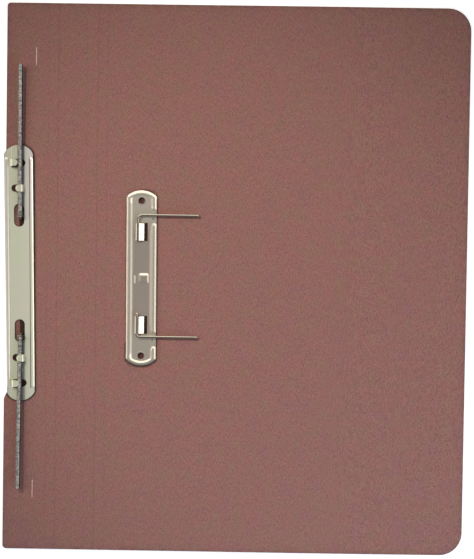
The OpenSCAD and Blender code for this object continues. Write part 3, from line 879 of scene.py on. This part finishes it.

# %% [markdown]
# ## The transfer plate
# The small fitting is one pressing: a raised bead runs round its rim, two windows have a tab curled over the
# hinge wire, and a pillow is raised in the middle. The right-hand bead stops short where the prongs lie. All
# of that is one height over the plate's outline: the distance from the edge gives the bead, and smooth steps
# give the rest. Marks on the same grid paint a paler tint on the rim, the ends and the pillow's slopes as
# painted highlights, and painted shade on the lower end.

# %% Sizes of the transfer plate
PLATE_T = 0.4
RIM_W = {"side": 5.0, "end": 3.6}
RIM_CREST = {"side": 1.8, "end": 2.1}
RIM_H = 0.95
PRONG_PITCH = 80.0
RIM_GAP = 8.2
RIM_GAP_OUT = 0.5
RIB_END = 1.7
PILLOW_X = (-2.8, 5.0)
PILLOW_Y = (-4.2, 3.7)
PILLOW_H = 0.95
PILLOW_RIGHT, PILLOW_TOP, PILLOW_LONG = 1.2, 1.9, 3.4
BAR = (-4.45, -0.8, 0.55, 2.7)
BAR_H = 0.35
CREASE_X = -2.7
CREASE_SLOPE = 0.07
PIPS = [(7.6, 39.3), (7.4, -40.5)]
PIP_R = 0.5
# Painted highlights: the ends, the rim and the pillow's slopes take the paler tint.
END_POWER = 10
PALE_ENDS = {"upper": 0.75, "lower": 0.4}
PALE_FROM, PALE_RUN = 26, 16
RIM_TONE = 0.55
# Painted shade on the lower end's outer slope.
LOW_END_SHADE, LOW_END_RUN = 0.9, 2.3


# %% The transfer plate's surface
def bow_ends(x, y, half_length, radius):
    """Rows near the two ends drawn in to an arc: the chord of the end's circle, by a steep power of the
    way out."""
    chord = radius - np.sqrt(np.maximum(radius**2 - x**2, 0))
    return y - np.sign(y) * np.abs(y / half_length) ** END_POWER * chord


def box_step(x, y, box, slope):
    """A raised box with eased slopes: 1 on its top and 0 outside, as a product of one step across each
    way."""
    place_x, place_y, half_x, half_y = box
    return ease((half_x - np.abs(x - place_x)) / slope) * ease((half_y - np.abs(y - place_y)) / slope)


def pillow(x, y):
    """The raised pad as two shares, to be multiplied: steep steps to the right and above, and long easy
    slopes to the left and below."""
    steep = ease((PILLOW_X[1] - x) / PILLOW_RIGHT) * ease((PILLOW_Y[1] - y) / PILLOW_TOP)
    easy = ease((x - PILLOW_X[0]) / PILLOW_LONG) * ease((y - PILLOW_Y[0]) / PILLOW_LONG)
    return steep, easy


def bead(depth, past_end, at_side):
    """A pressed bead along the rim, wider at the sides than at the ends. Across it the way from the crest
    runs from 0 to 1 on each side, and beyond its end the way past the end is added at right angles.
    Outside the crest the bead falls as a parabola, inside as a cosine."""
    width, crest = (sizes["end"] + (sizes["side"] - sizes["end"]) * at_side for sizes in (RIM_W, RIM_CREST))
    outer = depth < crest
    across = np.where(outer, 1 - depth / crest, (depth - crest) / (width - crest))
    away = np.clip(np.hypot(across, past_end), 0, 1)
    return np.where(outer, 1 - away**2, (1 + np.cos(math.pi * away)) / 2)


def transfer_height(x, y):
    """Height of the plate's upper face above the board."""
    depth = np.maximum(edge_depth(x, y, half_w, half_l, end_r), 0)
    gap_y = PRONG_PITCH / 2 + RIM_GAP_OUT
    to_gap = np.abs(np.abs(y) - gap_y) - RIM_GAP / 2
    right = x > half_w - 1.2 * RIM_W["side"]
    past_end = np.where(right, np.clip(1 - to_gap / RIB_END, 0, 1), 0)
    at_side = ease((half_l - END_BOW - np.abs(y)) / 6) * np.where(right, ease(to_gap / 7), 1)
    height = PLATE_T + RIM_H * bead(depth, past_end, at_side)
    steep, easy = pillow(x, y)
    height += PILLOW_H * steep * easy + BAR_H * box_step(x, y, BAR, 0.45)
    return height + CREASE_SLOPE * np.maximum(CREASE_X - x, 0) * ease((depth - 0.8 * RIM_W["side"]) / 0.6)


print("transfer plate stands", round(PLATE_T + RIM_H, 2), "mm high at its rim")

# %% The transfer plate's grid and marks
eyelet_out = np.hypot(*(eyelet_places[0] - plate_middle)[:2])
plate_holes = [(0.0, sign * eyelet_out, eyelet_bore, eyelet_bore) for sign in (1, -1)]
plate_holes += [(pip_x, pip_y, PIP_R, PIP_R) for pip_x, pip_y in PIPS]
window_x = [-WINDOW_W / 2, WINDOW_W / 2]
window_y = [sign * WINDOW_OUT + end for sign in (-1, 1) for end in (-WINDOW_L / 2, WINDOW_L / 2)]
x_lines = ruled([-half_w, half_w, *window_x, *opening_stops(plate_holes, 0)], 0.3)
plate_rows = ruled([-half_l, half_l, *window_y, *opening_stops(plate_holes, 1)], 0.36)
x, y = np.meshgrid(x_lines, plate_rows)
cell_x, cell_y = (x[:-1, :-1] + x[1:, 1:]) / 2, (y[:-1, :-1] + y[1:, 1:]) / 2
in_window = (np.abs(cell_x) < WINDOW_W / 2) & (np.abs(np.abs(cell_y) - WINDOW_OUT) < WINDOW_L / 2)
x, y, kept = cut_openings(x, y, plate_holes, 1.6)
y = bow_ends(x, y, half_l, end_r)
height = transfer_height(x, y)
# Painted highlights: the ends, the rim, the pillow's slopes and the bar take the paler tint.
pale_end = np.where(y > 0, PALE_ENDS["upper"], PALE_ENDS["lower"]) * ease((np.abs(y) - PALE_FROM) / PALE_RUN)
depth = edge_depth(x, y, half_w, half_l, end_r)
rim = RIM_TONE * ease((RIM_W["side"] - depth) / 0.8)
# Painted shade on the lower end's outer slope.
low_end = ease((END_BOW + 1.5 - half_l - y) / 1.5) * ease((LOW_END_RUN - depth) / LOW_END_RUN)
steep, easy = pillow(x, y)
pillow_and_bar_highlight = np.maximum(4 * steep * (1 - steep) * easy, box_step(x, y, BAR, 0.45))
plate_tone = np.tile(np.maximum(np.maximum(pale_end, rim), pillow_and_bar_highlight).ravel(), 2)
plate_faces = [np.stack([x, y, height - off], axis=-1) for off in (0, PLATE_T)]
pressing = shell(*plate_faces, kept & ~in_window)

# %% [markdown]
# ## The knuckles
# Each hinge knuckle is a tab of the plate: cut free on three sides, curled up over the wire, and sloped down
# again as a tail that leaves a gap in its window. A strap along a path gives the tab: up from the plate,
# round the wire, level for a moment, and straight down to the right, which is why the tail catches the light.
# The level top is painted as a dark line, as shade in a seam, and the whole knuckle takes the paler tint as a
# painted highlight.

# %% The knuckles, joined to the pressing
hinge = joint_place("prong_upper_swing")
hinge_x = hinge[0] - plate_middle[0]
hinge_h = hinge[2] - top_z
PRONG_R = 0.85
KNUCKLE_GAP = 0.3
KNUCKLE_CLEAR = 0.05
TAIL_END = {"upper": 4.2, "lower": 4.8}
TAIL_SLOPE = 30
TOP_RUN = {"upper": 0.55, "lower": 1.1}
# The knuckles are painted paler as a highlight, and their level tops dark as shade.
KNUCKLE_TONE = 1.0
KNUCKLE_SHADE = 1.0
curl_r = PRONG_R + KNUCKLE_CLEAR + PLATE_T / 2


def knuckle(top_run, tail_end):
    """A tab as a strap along a path: a filleted root, an arc round the wire, a level run and a sloping
    tail."""
    foot = [hinge_x - curl_r, PLATE_T / 2]
    corners = [[-WINDOW_W / 2 - 0.5, PLATE_T / 2], foot, [foot[0], hinge_h - 0.2]]
    turn = np.radians(np.linspace(180, 90 - TAIL_SLOPE, 25))
    curl = np.stack([hinge_x + curl_r * np.cos(turn), hinge_h + curl_r * np.sin(turn)], axis=-1)
    curl[:, 0] += top_run * (turn < math.pi / 2)
    fall = (hinge_x + tail_end - curl[-1, 0]) * np.array([1, -math.tan(math.radians(TAIL_SLOPE))])
    tail = curl[-1] + np.linspace(0, 1, 9)[1:, None] * fall
    path = np.concatenate([filleted(corners, [0.35]), curl, tail])
    return strap(path, WINDOW_L / 2 - KNUCKLE_GAP, PLATE_T, columns=5)


def top_shade(skin, top_run):
    """Painted shade for the dark line along a knuckle's level top: a flat-topped bell across it, on the upper
    side alone."""
    across = (skin[0][:, 0] - hinge_x - top_run / 2) / (top_run / 2 + 0.28)
    return KNUCKLE_SHADE * np.exp(-(across**4)) * (skin[0][:, 2] > hinge_h)


knuckles = []
plate_shade = [np.tile(LOW_END_SHADE * low_end.ravel(), 2)]
for which, sign in (("lower", -1), ("upper", 1)):
    curled = knuckle(TOP_RUN[which], TAIL_END[which])
    knuckles.append(moved(curled, [0, sign * WINDOW_OUT, 0]))
    plate_shade.append(top_shade(curled, TOP_RUN[which]))
plate_place = [plate_middle[0], plate_middle[1], top_z]
plate_skin = moved(join(moved(pressing, [0, 0, 0], PLATE_TURN), *knuckles), plate_place)
added = len(plate_skin[0]) - len(plate_tone)
# The knuckles take the paler tint whole, as a painted highlight.
plate_tone = np.pad(plate_tone, (0, added), constant_values=KNUCKLE_TONE)
plate_marks = {"tone": plate_tone, "soil": np.concatenate(plate_shade)}
plate = lay_piece("transfer_pressing", plate_skin, bright_plate, plate_marks)
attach(plate, "back")
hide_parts("transfer_plate")
print("transfer plate", round(2 * half_w, 1), "x", round(2 * half_l, 1), "mm, rim", RIM_W["side"], "mm wide")

# %% [markdown]
# ## Eyelets
# Two hollow eyelets rivet the plate to the board. An eyelet is turned: a thin barrel, rolled over at both
# ends into a rounded lip. Its profile is a closed line in radius and height, carried round the eyelet's
# axis.

# %% The eyelets
EYELET_WALL = 0.3
EYELET_LIP_T = 0.12


def lip_arc(inner, outer, level, rise, count=12):
    """Half an ellipse from the bore to the lip's outer edge, standing off a level by a rise."""
    angle = np.linspace(math.pi, 0, count)
    middle, half = (inner + outer) / 2, (outer - inner) / 2
    return np.stack([middle + half * np.cos(angle), level + rise * np.sin(angle)], axis=-1)


for name, place in zip(eyelet_nodes, eyelet_places):
    low, high = node_box(name)
    lip_r = (high[0] - low[0]) / 2
    bore_r = eyelet_bore - EYELET_WALL - 0.05
    upper = lip_arc(bore_r, lip_r, top_z + PLATE_T, EYELET_LIP_T)
    lower = lip_arc(bore_r, lip_r, board_z, -EYELET_LIP_T)[::-1]
    barrel_r = bore_r + EYELET_WALL
    barrel = [[barrel_r, top_z + PLATE_T - 0.02], [barrel_r, board_z + 0.02]]
    profile = np.concatenate([upper, barrel, lower])
    eyelet = lay_piece(name + "_turned", turned(profile, place), bright_plate)
    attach(eyelet, "back")
    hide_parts(name)

# %% [markdown]
# ## Prongs
# Each prong is one drawn wire: a hinge leg that lies in its knuckle, a bend, and a straight prong with a
# rounded tip. The bends differ, a wide one above and a tight one below, as bent by hand tools. A filleted
# path with two straight runs gives the wire's line, and rings along it give the wire.

# %% The prongs
PRONG_LEG = 14.9
PRONG_BENDS = {"upper": 3.5, "lower": 1.8}

for which, bend_r in PRONG_BENDS.items():
    node = "prong_" + which
    place = joint_place(node + "_swing")
    high = node_box(node)[1]
    side = 1 if which == "upper" else -1
    corner = [place[0], place[1], place[2]]
    leg_end = [place[0], place[1] - side * PRONG_LEG, place[2]]
    tip = [high[0] - PRONG_R, place[1], place[2]]
    line = filleted([leg_end, corner, tip], [bend_r], steps=18)
    prong = lay_piece(node + "_wire", tube(line, PRONG_R, [0, 0, 1], sides=20, dome=6), drawn_wire)
    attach(prong, "prong_up" if which == "upper" else "prong_low")
    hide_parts(node)

# %% [markdown]
# ## The coil plate
# The long fitting lies slightly askew on the strip. It is a flat with a bead along each side, two slots,
# and four hooks lanced up out of the metal: each hook leaves a round-ended hole where it was cut. The
# coils lie under the hooks, and a narrow tongue from each slot's end turns up into the coil to hold it.
# The long edges aren't quite parallel. Painted shade lies along the beads' inner feet and over the left bead,
# beside the coils as their shadow, round the hooks as their shadow, and on the tongues inside the coils.

# %% Sizes of the coil plate
RIB_W, RIB_L, RIB_H = 3.0, 152.0, 0.68
RIB_POWER = 1.35
# Painted shade: along the beads' feet, over the left bead, beside the coils, round the hooks and on the
# tongues.
FOOT_SHADE = {"left": 0.3, "right": 0.95}
FOOT_SHADE_IN = {"left": 0.0, "right": 0.55}
FOOT_SHADE_HALF = 0.42
OUTER_SHADE = 0.3
COIL_SHADE, HOOK_SHADE, TONGUE_SHADE = 0.6, 0.9, 0.85
SHADE_LEFT, SHADE_RIGHT = 2.35, 3.0
# A paler pink tint lies on the right half of the coil plate, most of all towards the upper end.
TINT_LEAST, TINT_FROM, TINT_RUN = 0.2, 20, 25
EDGE_IN = {"left": (-0.3, 0.9), "right": (0.5, 0.05)}
RIB_ROUND = 1.6
SLOT_W, SLOT_L, SLOT_OUT = 6.7, 15.0, 38.0
HOOK_W = 4.6
HOOK_BEND = 1.5
HOOK_DIP = 0.35
COIL_LINE = 0.4
COIL_R = 1.65
COIL_WIRE = 0.7
TONGUE_W = 1.25
TONGUE_IN = 4.0
SPRING_SIDE = {"upper": 0.72, "lower": 0.42}

coil_z = joint_place("coil_upper_lift")[2]
rivet_high = node_box("rivet_upper")[1]
RIVET_HEAD_H = 0.25
flat_top = rivet_high[2] - RIVET_HEAD_H
flat_h = flat_top - top_z
rib_x = (COIL_PLATE_W - RIB_W) / 2


# %% The coil plate's surface
def rib_height(x, y):
    """Two side beads, each a low roof with a rounded ridge: one less a power of the way out from the
    ridge line."""
    away = np.abs(np.abs(x) - rib_x) / (RIB_W / 2)
    short = np.clip((np.abs(y) - (RIB_L / 2 - RIB_ROUND)) / RIB_ROUND, 0, 1)
    return RIB_H * (1 - np.clip(np.hypot(away, short), 0, 1) ** RIB_POWER)


def coil_plate_height(x, y):
    """Height of the coil plate's upper face above the board: its flat and its two ribs."""
    return flat_h + rib_height(x, y)


# %% The coil plate's soil and its edges
def foot_shade(x, y):
    """Painted shade that is strongest along the inner foot of each rib: a bell across the foot, cut off past
    the rib's end. A weak painted shade covers the left rib."""
    foot = rib_x - RIB_W / 2 + np.where(x < 0, FOOT_SHADE_IN["left"], FOOT_SHADE_IN["right"])
    bell = np.exp(-(((np.abs(x) - foot) / FOOT_SHADE_HALF) ** 2)) * (np.abs(y) < RIB_L / 2)
    outer = OUTER_SHADE * ease((RIB_W / 2 - rib_x - x) / 1.2)
    return np.maximum(bell * np.where(x < 0, FOOT_SHADE["left"], FOOT_SHADE["right"]), outer)


def coil_and_hook_shade(x, y):
    """Painted shade on the plate: a band beside each coil, as its shadow and dark reflection, and a soft box
    round each hook's foot, as its shadow."""
    side = np.where(y > 0, SPRING_SIDE["upper"], SPRING_SIDE["lower"])
    off = x - (COIL_LINE + side)
    band = ease((off + SHADE_LEFT) / 0.5) * ease((SHADE_RIGHT - off) / 0.9)
    band = band * ease((np.abs(y) - SLOT_OUT) / 2)
    boxes = [
        box_step(x, y, (root + way * reach / 2, sign * out - 0.4, reach / 2 + 0.4, HOOK_W / 2 + 1.0), 0.7)
        for root, out, reach, _, way in HOOKS.values()
        for sign in (-1, 1)
    ]
    return np.maximum(COIL_SHADE * band, HOOK_SHADE * sum(boxes))


def trimmed(x, y):
    """The long edges aren't quite parallel: each runs in from its upper to its lower amount, and the
    amount dies away inwards by the cube of the way out to the edge."""
    share = (y + half_cl) / (2 * half_cl)
    for side, sign in (("left", -1), ("right", 1)):
        upper, lower = EDGE_IN[side]
        x = x - sign * (lower + (upper - lower) * share) * np.clip(sign * x / half_cw, 0, 1) ** 3
    return x


print("coil plate ribs stand", RIB_H, "mm high")

# %% The coil plate's grid and marks
slots = [(0.0, sign * SLOT_OUT, SLOT_W / 2, SLOT_L / 2) for sign in (-1, 1)]
lances = [
    (root + way * length / 2, sign * out, length / 2, HOOK_W / 2 + 0.1)
    for root, out, _, length, way in HOOKS.values()
    for sign in (-1, 1)
]
cuts = slots + lances
rib_edges = [sign * (rib_x + half) for sign in (-1, 1) for half in (-RIB_W / 2, 0, RIB_W / 2)]
foot_steps = (-0.4, -0.2, 0.2, 0.4, 0.6, 0.8, 1.0)
rib_edges += [sign * (rib_x - RIB_W / 2 + off) for sign in (-1, 1) for off in foot_steps]
rib_edges += [sign * (rib_x + off) for sign in (-1, 1) for off in (-0.5, -0.25, 0.25, 0.5)]
x_lines = ruled([-half_cw, half_cw, *rib_edges, *opening_stops(cuts, 0)], 0.32)
coil_rows = ruled([-half_cl, half_cl, RIB_L / 2, -RIB_L / 2, *opening_stops(cuts, 1)], 0.42)
x, y = np.meshgrid(x_lines, coil_rows)
x, y, kept = cut_openings(x, y, cuts, 1.3)
y = bow_ends(x, y, half_cl, COIL_END_R)
height = coil_plate_height(x, y)
# Painted shade from the beads' feet, the coils and the hooks.
plate_shade = np.tile(np.maximum(foot_shade(x, y), coil_and_hook_shade(x, y)).ravel(), 2)
# The left rib and the right half take the paler pink tint.
left_rib = ease((RIB_W / 2 - rib_x - x) / 1.2)
paler_half = TINT_LEAST + (1 - TINT_LEAST) * ease((y - TINT_FROM) / TINT_RUN)
paler_half = ease((x + 1) / 8) * paler_half
plate_tone = np.tile(np.maximum(paler_half, left_rib).ravel(), 2)
x = trimmed(x, y)
coil_faces = [np.stack([x, y, height - off], axis=-1) for off in (0, PLATE_T)]
coil_pressing = shell(*coil_faces, kept)

# %% [markdown]
# ## Hooks and tongues
# A hook is a strap again: straight up from the plate, round a bend, and over the coil with its end dipped
# a little. Its far end is round, so its half width follows a quarter circle over the last stretch.

# %% Hooks and tongues, joined to the pressing
hook_top = coil_z + COIL_R + 0.25 + PLATE_T / 2 - top_z


def hook(reach):
    """A lanced hook that stands at x = 0 and reaches over the coil along +X."""
    corners = [[0, flat_h - PLATE_T], [0, hook_top], [reach * 0.75, hook_top], [reach, hook_top - HOOK_DIP]]
    line = filleted(corners, [HOOK_BEND, 1.5])
    line = np.concatenate([line[:-1], line[-2] + (line[-1] - line[-2]) * np.linspace(0.15, 1, 10)[:, None]])
    left = (reach - line[:, 0]) / (HOOK_W / 2)
    round_end = np.sqrt(np.clip(1 - np.clip(1 - left, 0, 0.98) ** 2, 0, 1))
    return strap(line, HOOK_W / 2 * round_end, PLATE_T)


def tongue(base, root):
    """A narrow strip from the slot's end at root, up in front of the coil's base and back into the
    coil."""
    heel = base - 1.0
    level = flat_h - PLATE_T / 2
    middle = coil_z - top_z
    corners = [[root, level], [heel, level], [heel, middle], [base + TONGUE_IN, middle]]
    return strap(filleted(corners, [0.45, 0.45]), TONGUE_W / 2, PLATE_T, columns=5)


def in_plate_frame(point):
    """A place of the frame as coordinates along and across the askew plate."""
    dx, dy = point[0] - coil_middle[0], point[1] - coil_middle[1]
    c, s = math.cos(skew), math.sin(skew)
    return np.array([c * dx + s * dy, c * dy - s * dx])


coil_bases = {which: in_plate_frame(joint_place(f"coil_{which}_lift")) for which in ("upper", "lower")}
extras = []
for root, out, reach, _, way in HOOKS.values():
    raised = hook(reach) if way > 0 else mirrored(hook(reach), 0)
    extras += [moved(raised, [root, sign * out, 0]) for sign in (-1, 1)]
for which, sign in (("upper", 1), ("lower", -1)):
    strip = moved(tongue(sign * coil_bases[which][1], SLOT_OUT + SLOT_L / 2 + 0.4), [0, 0, 0], math.pi / 2)
    strip = strip if sign > 0 else mirrored(strip, 1)
    extras.append(moved(strip, [COIL_LINE + SPRING_SIDE[which], 0, 0]))
coil_place = [coil_middle[0], coil_middle[1], top_z]
coil_skin = moved(join(coil_pressing, *extras), coil_place, skew)
added = len(coil_skin[0]) - len(plate_shade)
tongue_points = sum(len(skin[0]) for skin in extras[-2:])
plate_marks = {"soil": np.pad(plate_shade, (0, added)), "tone": np.pad(plate_tone, (0, added))}
# The tongues are painted dark whole, as shade inside the coils.
plate_marks["soil"][-tongue_points:] = TONGUE_SHADE
coil_fitting = lay_piece("coil_pressing", coil_skin, dull_plate, plate_marks)
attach(coil_fitting, "strip")
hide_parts("coil_plate")
print("coil plate lies", round(math.degrees(skew), 2), "degrees askew")

# %% [markdown]
# ## Coil springs
# Each spring is wire wound so close that its turns touch: about a hundred and forty turns. It is one helix,
# carried along a middle line that starts at the plate's tongue, rises a little towards the tip and may sway
# to one side. The wire is mottled, and painted shade darkens its flanks and the gaps between its turns: each
# point's distance from the middle line tells.

# %% The line and the soil of a spring
TURN_STEPS = 18
PITCH_SHARE = 1.05
OPEN_TURNS = 3.0
OPEN_PITCH = 0.45
TIP_RISE = 1.0
TIP_IN = {"upper": 1.6, "lower": 0.0}
FLARE, FLARE_TURNS = 1.0, 2.4
LEAN = {"upper": 0.0, "lower": -3.2}
SWAY = {"upper": 1.0, "lower": 0.8}
# Painted shade on the springs' flanks and between their turns.
FLANK_SHADE = {"left": 0.5, "right": 1.0}
GROOVE_SHADE = 0.85


def spring_middle(share, base, run, lean, sway):
    """The spring's middle line at a share of its run: along the run, with a lean that grows evenly and a
    sway and a rise that grow with the square."""
    bent = np.array([sway, 0, TIP_RISE])
    return base + run * share + np.array([lean, 0, 0]) * share + bent * share**2


def spring_line(base, heading, run, lean, sway):
    """A helix round the middle line. Its first turns are drawn open and wide by a pitch and a flare that
    die away."""
    turns = np.linalg.norm(run) / (COIL_WIRE * PITCH_SHARE)
    turn = np.linspace(0, turns, int(turns * TURN_STEPS))
    opened = turn + OPEN_PITCH * OPEN_TURNS * (1 - np.exp(-turn / OPEN_TURNS))
    middle = spring_middle((opened / opened[-1])[:, None], base, run, lean, sway)
    beside = np.array([heading[1], -heading[0], 0])
    angle = (2 * math.pi * turn)[:, None]
    winding_r = COIL_R - COIL_WIRE / 2 + FLARE * np.exp(-turn / FLARE_TURNS)[:, None]
    return middle + winding_r * (np.cos(angle) * beside + np.sin(angle) * np.array([0, 0, 1]))


def spring_shade(points, base, heading, run, lean, sway):
    """Painted shade on a spring: dark on its two flanks, and deep between its turns."""
    share = ((points - base) @ heading / np.linalg.norm(run))[:, None]
    off = points - spring_middle(share, base, run, lean, sway)
    flank = ease((np.abs(off[:, 0]) / COIL_R - 0.45) / 0.3)
    flank = flank * np.where(off[:, 0] > 0, FLANK_SHADE["right"], FLANK_SHADE["left"])
    deep = ease((COIL_R - 0.1 - np.hypot(off[:, 0], off[:, 2])) / 0.25)
    return np.maximum(flank, GROOVE_SHADE * deep)


# %% The springs, wound and laid
for which, sign, body in (("upper", 1, "coil_up"), ("lower", -1, "coil_low")):
    node = "coil_spring_" + which
    anchor = joint_place(f"coil_{which}_lift")
    heading = sign * np.array([-math.sin(skew), math.cos(skew), 0])
    low, high = node_box(node)
    length = (high[1] - low[1]) / math.cos(skew) - TIP_IN[which] - COIL_WIRE
    base = anchor + heading * COIL_WIRE / 2 + np.array([SPRING_SIDE[which], 0, 0])
    shape = (base, heading, heading * length, LEAN[which], SWAY[which])
    skin = tube(spring_line(*shape), COIL_WIRE / 2, heading, sides=8, dome=3)
    marks = {"soil": spring_shade(skin[0], *shape)}
    spring = lay_piece(node + "_wound", skin, spring_wire, marks)
    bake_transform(spring)
    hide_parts(node)

# %% [markdown]
# ## Staples and rivets
# Two wire staples hold the front cover's band under the strip. Each is one bent wire: crown on top, legs
# through both boards, points clinched under the band. Two small rivets with domed heads hold the coil
# plate, under the coils, and are turned like the eyelets.

# %% The staples
STAPLE_D = 0.44
STAPLE_CLINCH = 4.0

for which in ("upper", "lower"):
    node = "staple_" + which
    low, high = node_box(node)
    middle = (low + high) / 2
    leg = (high[1] - low[1] - STAPLE_D) / 2
    crown_z, clinch_z = high[2] - STAPLE_D / 2, low[2] + STAPLE_D / 2
    inner = leg - STAPLE_CLINCH
    half = [(inner, clinch_z), (leg, clinch_z), (leg, crown_z)]
    outline = half + [(-y, z) for y, z in half[::-1]]
    corners = [[middle[0], middle[1] + y, z] for y, z in outline]
    line = filleted(corners, [0.3, 0.4, 0.4, 0.3], steps=6)
    skin = tube(line, STAPLE_D / 2, [1, 0, 0], sides=12, dome=3)
    staple = lay_piece(node + "_wire", skin, staple_wire)
    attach(staple, "strip")
    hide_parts(node)

# %% The rivets
RIVET_SHANK_R = 1.0
AXIS_GAP = 0.02


def head_arc(radius, level, tip):
    """A quarter of an ellipse from a head's tip, close to the axis, out to its edge at a level."""
    angle = np.linspace(0, math.pi / 2, 9)
    across = AXIS_GAP + (radius - AXIS_GAP) * np.sin(angle)
    return np.stack([across, level + (tip - level) * np.cos(angle)], axis=-1)


for which in ("upper", "lower"):
    node = "rivet_" + which
    low, high = node_box(node)
    middle = (low + high) / 2
    head_r = (high[0] - low[0]) / 2
    under_z = band_low[2]
    over = head_arc(head_r, flat_top, high[2])
    under = head_arc(head_r, under_z, low[2])[::-1]
    shank = [[RIVET_SHANK_R, flat_top - 0.01], [RIVET_SHANK_R, under_z + 0.01]]
    profile = np.concatenate([over, shank, under])
    rivet = lay_piece(node + "_turned", turned(profile, middle, sides=32), bright_plate)
    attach(rivet, "strip")
    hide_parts(node)

# %% [markdown]
# ## Floor, light and camera
# The file lies on a plain pale floor. The camera looks almost straight down, turned a little, as if held
# by hand above the desk. Polished beads show what surrounds them, so the light has a direction: a firm
# lamp above and a little to the far left, a broad soft lamp at the right, weaker ones at the left and at
# the foot, and a sky that is dim overhead and pale towards the horizon, most of all at the far side.

# %% The floor
FLOOR_COOL, FLOOR_WARM = (0.86, 0.86, 0.87, 1), (0.88, 0.87, 0.86, 1)
FLOOR_GLOW = 0.6
FLOOR_HALF = 6000.0
FLOOR_DROP = 0.05


def make_floor():
    """Pale matt floor. The camera, and metal that mirrors it, see it a little brighter than its own light
    makes it."""
    pale = bpy.data.materials.new("pale_floor")
    finish = Finish(pale)
    grain = finish.noise(30.0, 2.0)
    matt = finish.surface(Base_Color=finish.mix(grain, FLOOR_COOL, FLOOR_WARM), Roughness=0.9)
    glow = finish.add("ShaderNodeEmission", {}, {"Strength": FLOOR_GLOW * finish.shown()})
    both = finish.add("ShaderNodeAddShader", {}, {0: matt, 1: glow})
    finish.feed(finish.tree.nodes["Material Output"], {"Surface": both})
    return pale


floor_points = FLOOR_HALF * np.array([[-1, -1, 0], [1, -1, 0], [1, 1, 0], [-1, 1, 0]])
floor_points = floor_points - [0, 0, FLOOR_DROP]
floor_mesh = bpy.data.meshes.new("floor")
floor_mesh.from_pydata((floor_points * MM).tolist(), [], [[0, 1, 2, 3]])
floor_mesh.materials.append(make_floor())
floor = bpy.data.objects.new("floor", floor_mesh)
bpy.context.scene.collection.objects.link(floor)
floor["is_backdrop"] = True


# %% The lamps
def hang_lamp(name, kind, place, aim, power, colour, **settings):
    """A lamp of a kind at a place, turned to face a point. Places in metres."""
    light = bpy.data.lights.new(name, kind)
    light.energy = power
    light.color = colour
    for setting, value in settings.items():
        setattr(light, setting, value)
    lamp = bpy.data.objects.new(name, light)
    lamp.location = place
    lamp.rotation_euler = (Vector(aim) - Vector(place)).to_track_quat("-Z", "Y").to_euler()
    bpy.context.scene.collection.objects.link(lamp)
    return lamp


KEY_CONE = math.radians(22)
WARM, PALE, COOL = (1.0, 0.93, 0.82), (1.0, 0.97, 0.92), (0.56, 0.73, 1.0)
key_lamp = hang_lamp(
    "key_lamp", "SPOT", (-0.62, 0.70, 1.25), (0.03, -0.035, 0), 63, WARM,
    shadow_soft_size=0.035, spot_size=KEY_CONE, spot_blend=1.0,
)
hang_lamp(
    "right_strip", "AREA", (1.05, 0.0, 0.75), (0, 0, 0), 2.7, PALE,
    shape="RECTANGLE", size=1.4, size_y=0.35,
)
left_lamp = hang_lamp("left_lamp", "AREA", (-0.90, 0.10, 0.70), (0, 0, 0), 3.7, PALE, size=0.6)
foot_lamp = hang_lamp("foot_lamp", "AREA", (0.25, -0.50, 0.35), (0, -0.05, 0), 2.3, COOL, size=0.5)
for lamp in (key_lamp, left_lamp, foot_lamp):
    lamp.visible_glossy = False

# %% The sky
SKY_TINT = (1.0, 0.95, 0.87, 1)
SKY_ZENITH = 0.28
SKY_FAR, SKY_RIGHT, SKY_LEFT, SKY_LEFT_LOW = 2.2, 0.90, 0.28, 1.7
FAR_EDGE, SIDE_EDGE, LOW_EDGE = (0.30, 0.65), (0.42, 0.72), (0.90, 0.99)
SKY_SHARE = 0.07
world = bpy.data.worlds.new("studio")
bpy.context.scene.world = world
sky = Finish(world)
direction = sky.add("ShaderNodeTexCoord", output="Generated")
across = sky.add("ShaderNodeSeparateXYZ", {}, {0: direction}, output="X")
along = sky.add("ShaderNodeSeparateXYZ", {}, {0: direction}, output="Y")
glow = SKY_ZENITH + SKY_FAR * sky.band(along, *FAR_EDGE)
glow = glow + SKY_RIGHT * sky.band(across, *SIDE_EDGE) + SKY_LEFT * sky.band(-1 * across, *SIDE_EDGE)
glow = glow + SKY_LEFT_LOW * sky.band(-1 * across, *LOW_EDGE)
strength = glow * (SKY_SHARE + (1 - SKY_SHARE) * sky.shown())
sky.feed(world.node_tree.nodes["Background"], {"Color": SKY_TINT, "Strength": strength})

# %% The camera
CAMERA_PLACE = (0.0124, 0.0321, 1.0)
CAMERA_TURN = (-1.801, 0.679, 0.84)
CAMERA_LENS = 97.7
camera_data = bpy.data.cameras.new("camera")
camera_data.lens = CAMERA_LENS
camera_data.sensor_width = 36.0
camera_data.clip_start, camera_data.clip_end = 0.01, 50.0
camera = bpy.data.objects.new("camera", camera_data)
camera.location = CAMERA_PLACE
camera.rotation_euler = Euler([math.radians(angle) for angle in CAMERA_TURN])
bpy.context.scene.collection.objects.link(camera)
bpy.context.scene.camera = camera
bpy.context.scene.view_settings.view_transform = "Standard"

# %% Size of the dressed file
dressed_low, dressed_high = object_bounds()
lengths = [round((high - low) / MM, 2) for low, high in zip(dressed_low, dressed_high)]
print("dressed file measures", lengths, "mm")
